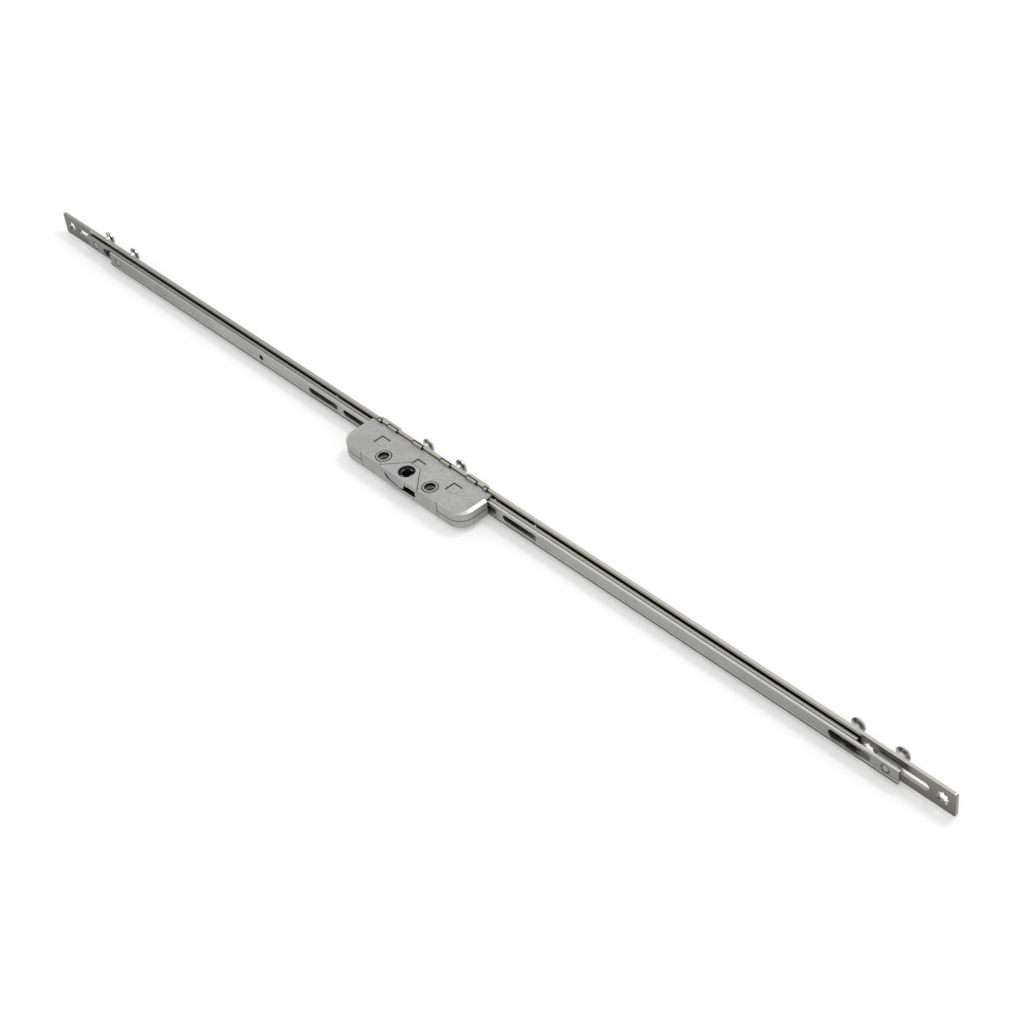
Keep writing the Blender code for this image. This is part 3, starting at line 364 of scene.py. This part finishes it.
def rubbed_edges_group():
    """Bright metal along outer edges, broken up by a fine noise, as a mask."""
    group, given, made = new_group("rubbed_edges", {"Reach": WEAR_REACH, "Amount": 0.6}, ("Mask",))
    thin = openness(group, given["Reach"])
    thin.inside = True
    thin.only_local = True
    edge = product(group, spread(group, thin.outputs["AO"], *WEAR_OPENNESS), given["Amount"])
    group.links.new(broken(group, edge, scale=700.0, low=0.55, high=1.25), made["Mask"])
    return group


def rolling_lines_group():
    """Fine lines left along a strip by the rolls, as a mask and as a height."""
    group, given, made = new_group("rolling_lines", {"Along": 6.0, "Across": 900.0}, ("Mask", "Height"))
    join = group.nodes.new("ShaderNodeCombineXYZ")
    for axis, way in (("X", "Along"), ("Y", "Across"), ("Z", "Across")):
        group.links.new(given[way], join.inputs[axis])
    lines = noise(group, stretched_place(group, join.outputs[0]), scale=1.0, detail=4.0, roughness=0.6)
    group.links.new(spread(group, lines, start=0.35, end=0.65), made["Mask"])
    group.links.new(lines, made["Height"])
    return group


def blotches_group():
    """Soft cloudy patches, and a finer mottle, as masks."""
    group, given, made = new_group("blotches", {"Size": 60.0, "Mottle": 600.0}, ("Cloud", "Mottle"))
    cloud = noise(group, own_place(group), given["Size"], detail=3.0, roughness=0.55)
    mottle = noise(group, own_place(group), given["Mottle"], detail=5.0, roughness=0.65)
    group.links.new(spread(group, cloud, start=0.35, end=0.68), made["Cloud"])
    group.links.new(spread(group, mottle, start=0.32, end=0.70), made["Mottle"])
    return group


def scratches_group():
    """Short fine handling scratches, some along a piece and some across it, as a mask."""
    group, given, made = new_group("scratches", {"Amount": 0.5}, ("Mask",))
    masks = []
    for stretch in ((60.0, 900.0, 900.0), (700.0, 120.0, 500.0)):
        lines = noise(group, stretched_place(group, stretch), scale=1.0, detail=1.0, roughness=0.4)
        masks.append(spread(group, lines, start=0.70, end=0.76))
    both = highest(group, *masks)
    group.links.new(math_node(group, "MULTIPLY", both, given["Amount"], clamp=True), made["Mask"])
    return group


def casting_grain_group():
    """Grain of a die casting: a close matte grain and scattered small pits, as heights."""
    group, given, made = new_group("casting_grain", {"Grain": 1800.0, "Pits": 420.0}, ("Grain", "Pits"))
    grain = noise(group, own_place(group), given["Grain"], detail=3.0, roughness=0.6)
    pits = group.nodes.new("ShaderNodeTexVoronoi")
    group.links.new(own_place(group), pits.inputs["Vector"])
    group.links.new(given["Pits"], pits.inputs["Scale"])
    group.links.new(grain, made["Grain"])
    group.links.new(spread(group, pits.outputs["Distance"], start=0.0, end=0.22), made["Pits"])
    return group


def blend(tree, mask, a, b):
    """Colour a where the mask is 0 and colour b where it is 1."""
    node = tree.nodes.new("ShaderNodeMix")
    node.data_type = "RGBA"
    tree.links.new(mask, node.inputs["Factor"])
    for name, colour in (("A", a), ("B", b)):
        slot = next(s for s in node.inputs if s.name == name and s.type == "RGBA")
        feed(tree, slot, (*colour, 1.0) if isinstance(colour, tuple) else colour)
    return next(s for s in node.outputs if s.type == "RGBA")


def toned(tree, colour, mask, share, tone):
    """A colour with a share of a tone laid over it where the mask is 1."""
    return blend(tree, ranged(tree, mask, 0.0, share), colour, tone)


def shaded(colour, share):
    """A plain colour made lighter or darker."""
    return tuple(min(1.0, part * share) for part in colour)


def bumped(tree, shader, heights):
    """Adds bumps one on another: each height has its own depth."""
    normal = None
    for height, depth in heights:
        node = tree.nodes.new("ShaderNodeBump")
        node.inputs["Strength"].default_value = 1.0
        node.inputs["Distance"].default_value = depth
        tree.links.new(height, node.inputs["Height"])
        if normal is not None:
            tree.links.new(normal, node.inputs["Normal"])
        normal = node.outputs["Normal"]
    tree.links.new(normal, shader.inputs["Normal"])


def new_material(name, metallic):
    material = bpy.data.materials.new(name)
    material.use_nodes = True
    tree = material.node_tree
    shader = tree.nodes["Principled BSDF"]
    shader.inputs["Metallic"].default_value = metallic
    return material, tree, shader


def shade_rings(tree, effects, plane, centres, ring):
    """Painted shade rings of one radius and width round several centres, in the plane of two axes, as a
    mask.
    """
    axes = own_axes(tree)
    masks = []
    for across, level in centres:
        placed = place_group(tree, effects["shade_ring"], Radius=ring[0], Width=ring[1],
                             Across=math_node(tree, "SUBTRACT", axes[plane[0]], across),
                             Level=math_node(tree, "SUBTRACT", axes[plane[1]], level))
        masks.append(placed["Mask"])
    return highest(tree, *masks)


# Darkens a colour with painted shade in gaps, slots and corners.
def crevice_shaded(tree, effects, colour, shade, amount, reach=SHADE_REACH):
    shade_mask = place_group(tree, effects["crevice_shade"], Amount=amount, Reach=reach)
    return blend(tree, shade_mask["Mask"], colour, shade)


def rubbed(tree, effects, colour, bright, amount):
    wear = place_group(tree, effects["rubbed_edges"], Amount=amount)
    return blend(tree, wear["Mask"], colour, bright)


def plated_steel(effects, name, light, dark, highlight_level, highlight_left, highlight_right):
    """Rolled and plated strip, darker towards its ends; its sheared edges, past the given level, have a
    painted highlight that grows brighter to the right.
    """
    material, tree, shader = new_material(name, metallic=1.0)
    lines = place_group(tree, effects["rolling_lines"])
    cloud = place_group(tree, effects["blotches"], Size=45.0, Mottle=900.0)
    marks = place_group(tree, effects["scratches"], Amount=0.35)
    body = blend(tree, cloud["Cloud"], dark, light)
    lined = toned(tree, body, lines["Mask"], share=0.35, tone=dark)
    end_darkened = toned(tree, lined, size_mask(tree, "X", *DARKER_ENDS), share=0.6, tone=shaded(dark, 0.6))
    dimmed = toned(tree, end_darkened, axis_mask(tree, "X", *DARK_LEFT), share=0.55, tone=shaded(dark, 0.5))
    # painted highlight on the sheared edges, brighter towards the right
    edge_highlight = blend(tree, axis_mask(tree, "X", *EDGE_HIGHLIGHT_SPAN), shaded(light, highlight_left), shaded(light, highlight_right))
    highlighted = blend(tree, size_mask(tree, "Z", highlight_level - HIGHLIGHT_BLEND, highlight_level), dimmed, edge_highlight)
    worn = blend(tree, marks["Mask"], highlighted, shaded(light, 1.25))
    bright = rubbed(tree, effects, worn, shaded(light, 1.6), amount=0.5)
    return material, tree, shader, lines, cloud, bright


def finish_strip(effects, tree, shader, lines, cloud, colour, rough, unshaded=None):
    """The last coat of a strip, with painted shade in its gaps; none is painted where the given mask is 1.
    """
    shaded_colour = crevice_shaded(tree, effects, colour, BLACK_SHADE, amount=1.0)
    if unshaded is not None:
        shaded_colour = blend(tree, unshaded, shaded_colour, colour)
    tree.links.new(shaded_colour, shader.inputs["Base Color"])
    tree.links.new(ranged(tree, cloud["Mottle"], rough - 0.05, rough + 0.05), shader.inputs["Roughness"])
    bumped(tree, shader, [(lines["Height"], 0.008 * MM), (cloud["Mottle"], 0.004 * MM)])


def faceplate_steel(effects, light, dark, inner, brown, lit_band, rough):
    """The faceplate: its inner face is dull and brown, with painted black shade behind the bars and a
    painted light band above them.
    """
    material, tree, shader, lines, cloud, plated = plated_steel(
        effects, "faceplate_strip", light, dark, FACEPLATE_CUT, highlight_left=0.66, highlight_right=1.02)
    darker = blend(tree, axis_mask(tree, "X", *DARK_LEFT), inner, shaded(inner, 0.56))
    tinted = blend(tree, axis_mask(tree, "X", *BROWN_RIGHT), darker, brown)
    stained = toned(tree, tinted, cloud["Cloud"], share=0.3, tone=shaded(brown, 0.8))
    lower = toned(tree, stained, axis_mask(tree, "Z", *DARK_FOOT), share=0.4, tone=shaded(brown, 0.5))
    behind_bars = product(tree, axis_mask(tree, "X", *TRACK_LEFT), axis_mask(tree, "X", *TRACK_RIGHT))
    track = product(tree, size_mask(tree, "Z", *TRACK_HALF), behind_bars)
    # painted black shade behind the bars, and a painted light band above them
    gap_shaded = blend(tree, track, lower, BLACK_SHADE)
    unshaded = axis_mask(tree, "Z", *LIT_BAND)
    lit_banded = blend(tree, product(tree, unshaded, behind_bars), gap_shaded, lit_band)
    faced = blend(tree, axis_mask(tree, "Y", *OFF_INNER_FACE), lit_banded, plated)
    finish_strip(effects, tree, shader, lines, cloud, faced, rough, unshaded)
    return material


def bar_steel(effects, name, light, dark, highlight_level):
    """Plated strip with the painted edge highlight of a drive bar."""
    return plated_steel(effects, name, light, dark, highlight_level, highlight_left=0.85, highlight_right=1.3)


def pinned(tree, effects, colour, stations):
    """Painted shade round the riveted pins of a bar's cams."""
    rings = shade_rings(tree, effects, "XZ", [(station, 0.0) for station in stations], PIN_RING)
    return toned(tree, colour, rings, share=0.6, tone=BLACK_SHADE)


def front_bar_steel(effects, light, dark, rough):
    """The front drive bar: painted shade on the lip along its foot, with a painted highlight on the ledge
    on top of the lip.
    """
    material, tree, shader, lines, cloud, plated = bar_steel(
        effects, "front_bar_strip", light, dark, FRONT_CUT)
    # painted shade on the lip's face, and a painted highlight on its ledge
    lipped = blend(tree, axis_mask(tree, "Y", *LIP_FACE), pinned(tree, effects, plated, FRONT_PINS),
                   shaded(dark, 0.5))
    lip = axis_mask(tree, "Y", *LIP_ROOT)
    ledged = blend(tree, product(tree, lip, axis_mask(tree, "Z", *LEDGE_LEVEL)), lipped, LEDGE_HIGHLIGHT)
    finish_strip(effects, tree, shader, lines, cloud, ledged, rough, unshaded=lip)
    return material


def rear_bar_steel(effects, light, dark, rough):
    """The rear drive bar: painted shade round its pins, and painted black shade where the front bar covers
    it.
    """
    material, tree, shader, lines, cloud, plated = bar_steel(
        effects, "rear_bar_strip", light, dark, REAR_CUT)
    covered = product(tree, axis_mask(tree, "Y", *COVERED_FACE), axis_mask(tree, "X", *COVERED_FROM),
                      size_mask(tree, "Z", *COVERED_HALF))
    gap_shaded = blend(tree, covered, pinned(tree, effects, plated, REAR_PINS), BLACK_SHADE)
    finish_strip(effects, tree, shader, lines, cloud, gap_shaded, rough)
    return material


def spring_steel(effects, light, dark, rough):
    """The leaf spring: the bars' plated strip, in its own colours."""
    material, tree, shader, lines, cloud, plated = bar_steel(
        effects, "spring_strip", light, dark, SPRING_CUT)
    finish_strip(effects, tree, shader, lines, cloud, plated, rough)
    return material


def casting_body(effects, name, light, dark):
    """Cloudy, mottled zinc with rubbed edges, before its own marks and grime."""
    material, tree, shader = new_material(name, metallic=0.6)
    cloud = place_group(tree, effects["blotches"], Size=70.0, Mottle=500.0)
    marks = place_group(tree, effects["scratches"], Amount=0.2)
    body = blend(tree, cloud["Cloud"], dark, light)
    mottled = blend(tree, cloud["Mottle"], body, shaded(dark, 0.88))
    worn = blend(tree, marks["Mask"], mottled, shaded(light, 1.2))
    return material, tree, shader, rubbed(tree, effects, worn, shaded(light, 1.45), amount=0.7)


def finish_casting(effects, tree, shader, colour, rough, polish=None):
    """The last coat of a casting, with painted shade in its gaps; it is smoother where the mask polish is
    1.
    """
    grain = place_group(tree, effects["casting_grain"])
    tree.links.new(crevice_shaded(tree, effects, colour, CASTING_SHADE, amount=0.95), shader.inputs["Base Color"])
    matte = ranged(tree, grain["Grain"], rough - 0.06, rough + 0.06)
    if polish is not None:
        matte = math_node(tree, "SUBTRACT", matte, ranged(tree, polish, low=0.0, high=0.1))
    tree.links.new(matte, shader.inputs["Roughness"])
    bumped(tree, shader, [(grain["Grain"], 0.02 * MM), (grain["Pits"], 0.008 * MM)])


def spacer_casting(effects, light, dark, rough):
    """The spacer plate, which has no marks of its own."""
    material, tree, shader, colour = casting_body(effects, "zinc_die_casting", light, dark)
    finish_casting(effects, tree, shader, colour, rough)
    return material


def panel_masks(tree):
    """The pressed panel round the spindle, wider towards the front wall, and the painted shade along its
    sides, darker on the right.
    """
    axes = own_axes(tree)
    across = size_of(tree, axes["X"])
    half = mapped(tree, axes["Y"], (PANEL_TOP, CASE_FRONT), (PANEL_TOP_HALF, PANEL_BASE_HALF))
    below = math_node(tree, "LESS_THAN", axes["Y"], PANEL_TOP)
    sunk = product(tree, math_node(tree, "LESS_THAN", across, half), below)
    right = math_node(tree, "GREATER_THAN", axes["X"], 0.0)
    line = spread(tree, distance(tree, across, half), *OUTLINE_WIDTH)
    return sunk, product(tree, line, ranged(tree, right, low=0.25, high=0.8), below)


def seamed(tree, colour):
    """Grime in the joint of cover and base, and in the upright seams where the tall front wall ends."""
    axes = own_axes(tree)
    beside = size_of(tree, axes["X"])
    joint = product(tree, spread(tree, distance(tree, axes["Z"], PARTING_LEVEL), *PARTING_WIDTH),
                    math_node(tree, "GREATER_THAN", beside, WALL_SEAM))
    upright = product(tree, spread(tree, distance(tree, beside, WALL_SEAM), *WALL_SEAM_WIDTH),
                      math_node(tree, "LESS_THAN", axes["Y"], FRONT_WALL))
    return toned(tree, colour, highest(tree, joint, upright), share=0.8, tone=SEAM_GRIME_AND_SHADE)


def lug_ends(tree):
    """Painted shade at both ends of each lug, as a mask."""
    along = size_of(tree, own_axes(tree)["X"])
    masks = []
    for station, half in LUGS:
        off = distance(tree, along, station)
        near = math_node(tree, "LESS_THAN", off, half + LUG_SHADE_END)
        masks.append(product(tree, spread(tree, off, half + LUG_SHADE[0], half + LUG_SHADE[1]), near))
    return highest(tree, *masks)


def lugged(tree, colour):
    """The lugs' faces in the faceplate, with painted shade at their ends and outer edges."""
    edged = blend(tree, axis_mask(tree, "Y", *LUG_OUTER), LUG_PLATING, BLACK_SHADE)
    faced = blend(tree, lug_ends(tree), edged, BLACK_SHADE)
    return blend(tree, axis_mask(tree, "Y", *LUG_FACES), colour, faced)


def cover_casting(effects, light, dark, panel, rough):
    """The case cover: pressed marks with painted shade round them, painted shade round its sleeves and hub,
    lugs and an end bevel that is smoother and has a painted highlight.
    """
    material, tree, shader, colour = casting_body(effects, "cover_casting", light, dark)
    sunk, side_shade = panel_masks(tree)
    colour = toned(tree, colour, sunk, share=0.45, tone=panel)
    colour = blend(tree, side_shade, colour, PANEL_SIDE_SHADE)
    off_panel = ranged(tree, sunk, low=0.9, high=0.0)
    for station in SQUARE_STATIONS:
        square = place_group(tree, effects["pressed_outline_shade"], Station=station,
                             Line=SQUARE_LINE, Half=SQUARE_HALF)
        colour = blend(tree, product(tree, square["Mask"], off_panel), colour, SEAM_GRIME_AND_SHADE)
    rings = highest(tree, shade_rings(tree, effects, "XY", SLEEVE_CENTRES, SLEEVE_RING),
                    shade_rings(tree, effects, "XY", HUB_CENTRES, HUB_RING))
    colour = lugged(tree, toned(tree, colour, rings, share=0.85, tone=BLACK_SHADE))
    bevel = product(tree, axis_mask(tree, "Z", *BEVEL_TOP), axis_mask(tree, "Z", *BEVEL_FOOT),
                    size_mask(tree, "X", *END_BEVEL))
    colour = blend(tree, bevel, colour, BEVEL_HIGHLIGHT)
    finish_casting(effects, tree, shader, seamed(tree, colour), rough, polish=bevel)
    return material


def base_casting(effects, light, dark, rough):
    """The case base: its lug faces, and painted black shade inside its front window."""
    material, tree, shader, colour = casting_body(effects, "base_casting", light, dark)
    window = product(tree, axis_mask(tree, "Y", *WINDOW_SKIN), axis_mask(tree, "Y", *WINDOW_DEPTH),
                     size_mask(tree, "X", *WINDOW_HALF))
    opened = blend(tree, window, lugged(tree, colour), BLACK_SHADE)
    finish_casting(effects, tree, shader, seamed(tree, opened), rough)
    return material


def turned_body(effects, name, light, dark):
    """Turned steel with rubbed edges, before its own marks and grime."""
    material, tree, shader = new_material(name, metallic=1.0)
    cloud = place_group(tree, effects["blotches"], Size=220.0, Mottle=1500.0)
    marks = place_group(tree, effects["scratches"], Amount=0.3)
    body = blend(tree, cloud["Cloud"], dark, light)
    worn = blend(tree, marks["Mask"], body, dark)
    return material, tree, shader, cloud, rubbed(tree, effects, worn, shaded(light, 1.3), amount=0.4)


def finish_turned(effects, tree, shader, cloud, colour, rough, shade=1.0):
    """The last coat of a turned piece, with painted shade in its gaps."""
    shaded_colour = crevice_shaded(tree, effects, colour, TURNED_SHADE, shade, TURNED_SHADE_REACH)
    tree.links.new(shaded_colour, shader.inputs["Base Color"])
    tree.links.new(ranged(tree, cloud["Mottle"], rough - 0.03, rough + 0.04), shader.inputs["Roughness"])
    bumped(tree, shader, [(cloud["Mottle"], 0.003 * MM)])


def gear_steel(effects, light, dark, rough):
    """The darker steel of the gears inside the case."""
    material, tree, shader, cloud, colour = turned_body(effects, "gear_steel", light, dark)
    finish_turned(effects, tree, shader, cloud, colour, rough)
    return material


def sleeve_steel(effects, light, dark, rough):
    """A flanged sleeve: painted shade round its flange and in its counterbore, and a painted highlight ring
    down its bore.
    """
    material, tree, shader, cloud, colour = turned_body(effects, "turned_sleeve", light, dark)
    rings = highest(tree, shade_rings(tree, effects, "XY", SLEEVE_CENTRES, FLANGE_RING),
                    shade_rings(tree, effects, "XY", SLEEVE_CENTRES, COUNTERBORE_RING))
    ringed = blend(tree, rings, colour, BLACK_SHADE)
    bore = axis_mask(tree, "Z", *SLEEVE_BORE)
    tree.links.new(ranged(tree, bore, low=1.0, high=0.2), shader.inputs["Metallic"])
    lip = blend(tree, axis_mask(tree, "Z", *BORE_LIP), BLACK_SHADE, BORE_HIGHLIGHT)
    wall = blend(tree, axis_mask(tree, "Z", *BORE_WALL), lip, BORE_METAL)
    finish_turned(effects, tree, shader, cloud, blend(tree, bore, ringed, wall), rough, shade=0.2)
    return material


def hub_steel(effects, light, dark, rough):
    """The hub: painted black shade in a ring on its top and deep in its square, whose walls are lighter
    higher up.
    """
    material, tree, shader, cloud, colour = turned_body(effects, "hub_steel", light, dark)
    top = product(tree, shade_rings(tree, effects, "XY", HUB_CENTRES, HUB_TOP_RING),
                  axis_mask(tree, "Z", *HUB_TOP))
    walls = blend(tree, axis_mask(tree, "Z", *HUB_SHADE), colour, BLACK_SHADE)
    finish_turned(effects, tree, shader, cloud, blend(tree, top, walls, BLACK_SHADE), rough, shade=0.3)
    return material


def cam_steel(effects, light, dark, pin, rough):
    """A bright turned cam whose riveted pin is as dull as the bar that holds it."""
    material, tree, shader, cloud, colour = turned_body(effects, "turned_cam", light, dark)
    ended = blend(tree, axis_mask(tree, "Y", *PIN_END), pin, colour)
    finish_turned(effects, tree, shader, cloud, ended, rough)
    return material


def dress(names, material):
    """Gives CAD nodes their material and rounds their edges a little."""
    for name in names:
        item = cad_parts[name]
        for slot in item.material_slots:
            slot.material = material
        round_over = item.modifiers.new("round_edges", "BEVEL")
        round_over.width = ROUND_EDGE
        round_over.segments = ROUND_SEGMENTS
        round_over.limit_method = "ANGLE"
        round_over.angle_limit = EDGE_ANGLE
        round_over.harden_normals = True


def build_effects():
    """The shared effects, by name."""
    made = (rolling_lines_group(), blotches_group(), scratches_group(), casting_grain_group(),
            crevice_shade_group(), rubbed_edges_group(), pressed_outline_shade_group(), shade_ring_group())
    return {group.name: group for group in made}


def build_finishes(effects):
    dress(("faceplate",), faceplate_steel(effects, light=(0.44, 0.44, 0.405), dark=(0.36, 0.36, 0.33),
                                          inner=(0.27, 0.27, 0.235), brown=(0.24, 0.22, 0.195),
                                          lit_band=(0.54, 0.53, 0.46), rough=0.34))
    dress(("drive_bar_front",), front_bar_steel(effects, light=(0.435, 0.435, 0.415),
                                                dark=(0.36, 0.36, 0.34), rough=0.34))
    dress(("drive_bar_rear",), rear_bar_steel(effects, light=(0.42, 0.42, 0.39),
                                              dark=(0.34, 0.34, 0.32), rough=0.36))
    dress(("case_cover",), cover_casting(effects, light=(0.53, 0.53, 0.515), dark=(0.42, 0.42, 0.41),
                                         panel=(0.46, 0.47, 0.475), rough=0.5))
    dress(("case_base",), base_casting(effects, light=(0.53, 0.53, 0.51), dark=(0.41, 0.41, 0.395),
                                       rough=0.5))
    dress(("spacer_plate",), spacer_casting(effects, light=(0.48, 0.48, 0.47), dark=(0.38, 0.38, 0.37),
                                            rough=0.55))
    dress(CAM_NODES, cam_steel(effects, light=(0.60, 0.60, 0.59), dark=(0.34, 0.34, 0.33),
                               pin=(0.36, 0.36, 0.345), rough=0.15))
    dress(SLEEVE_NODES, sleeve_steel(effects, light=(0.50, 0.50, 0.48), dark=(0.38, 0.38, 0.36),
                                     rough=0.3))
    dress(GEAR_NODES, gear_steel(effects, light=(0.30, 0.31, 0.32), dark=(0.20, 0.205, 0.21),
                                 rough=0.35))
    dress(("follower",), hub_steel(effects, light=(0.80, 0.81, 0.82), dark=(0.62, 0.625, 0.63),
                                   rough=0.35))
    dress(("index_spring",), spring_steel(effects, light=(0.52, 0.52, 0.50), dark=(0.42, 0.42, 0.40),
                                          rough=0.4))


def seen_directly(tree):
    """1 for rays from the camera, a gloss or a clear material, 0 for soft bounced light."""
    path = tree.nodes.new("ShaderNodeLightPath").outputs
    return highest(tree, path["Is Camera Ray"], path["Is Glossy Ray"], path["Is Transmission Ray"])


def build_floor():
    half = FLOOR_SIZE / 2
    level = cad_low[2] - FLOOR_GAP
    corners = [(x * half, y * half, level) for x, y in ((-1, -1), (1, -1), (1, 1), (-1, 1))]
    mesh = bpy.data.meshes.new("studio_floor")
    mesh.from_pydata(corners, [], [(0, 1, 2, 3)])
    floor = bpy.data.objects.new("studio_floor", mesh)
    bpy.context.scene.collection.objects.link(floor)
    material, tree, shader = new_material("pale_floor", metallic=0.0)
    shader.inputs["Base Color"].default_value = FLOOR_COLOUR
    shader.inputs["Roughness"].default_value = FLOOR_ROUGHNESS
    shader.inputs["Specular IOR Level"].default_value = FLOOR_SPECULAR
    shader.inputs["Emission Color"].default_value = WHITE
    glow = math_node(tree, "MULTIPLY", seen_directly(tree), FLOOR_GLOW)
    tree.links.new(glow, shader.inputs["Emission Strength"])
    mesh.materials.append(material)


def softbox(name, direction, distance_away, size, radiance):
    """A square lamp that faces the object, with its brightness given as seen in a mirror."""
    data = bpy.data.lights.new(name, "AREA")
    data.shape = "SQUARE"
    data.size = size
    data.energy = radiance * math.pi * size * size
    place = Vector(direction).normalized() * distance_away
    lamp = bpy.data.objects.new(name, data)
    lamp.location = place
    lamp.rotation_euler = (-place).to_track_quat("-Z", "Y").to_euler()
    bpy.context.scene.collection.objects.link(lamp)


def build_lights():
    world = bpy.data.worlds.new("studio")
    world.use_nodes = True
    tree = world.node_tree
    background = tree.nodes["Background"]
    background.inputs["Color"].default_value = WHITE
    tree.links.new(ranged(tree, seen_directly(tree), AMBIENT, 1.0), background.inputs["Strength"])
    bpy.context.scene.world = world
    softbox("back_softbox", direction=(-0.59, 0.46, 0.66), distance_away=2.2, size=1.3, radiance=0.2)
    softbox("top_softbox", direction=(0.17, 0.46, 0.87), distance_away=1.8, size=0.36, radiance=12.0)


def build_camera():
    data = bpy.data.cameras.new("camera")
    data.sensor_fit = "HORIZONTAL"
    data.sensor_width = CAMERA_SENSOR
    data.lens = CAMERA_LENS
    data.clip_start = CAMERA_NEAR
    data.clip_end = CAMERA_FAR
    camera = bpy.data.objects.new("camera", data)
    azimuth = math.radians(CAMERA_AZIMUTH)
    elevation = math.radians(CAMERA_ELEVATION)
    back = Vector((math.sin(azimuth) * math.cos(elevation), -math.cos(azimuth) * math.cos(elevation),
                   math.sin(elevation)))
    right = Vector((math.cos(azimuth), math.sin(azimuth), 0))
    up = back.cross(right)
    turned = Matrix((right, up, back)).transposed().to_4x4()
    roll = Matrix.Rotation(math.radians(CAMERA_ROLL), 4, "Z")
    camera.matrix_world = Matrix.Translation(Vector(CAMERA_AIM) + back * CAMERA_DISTANCE) @ turned @ roll
    bpy.context.scene.collection.objects.link(camera)
    bpy.context.scene.camera = camera


build_finishes(build_effects())
build_floor()
build_lights()
build_camera()
bpy.context.scene.view_settings.view_transform = "Standard"
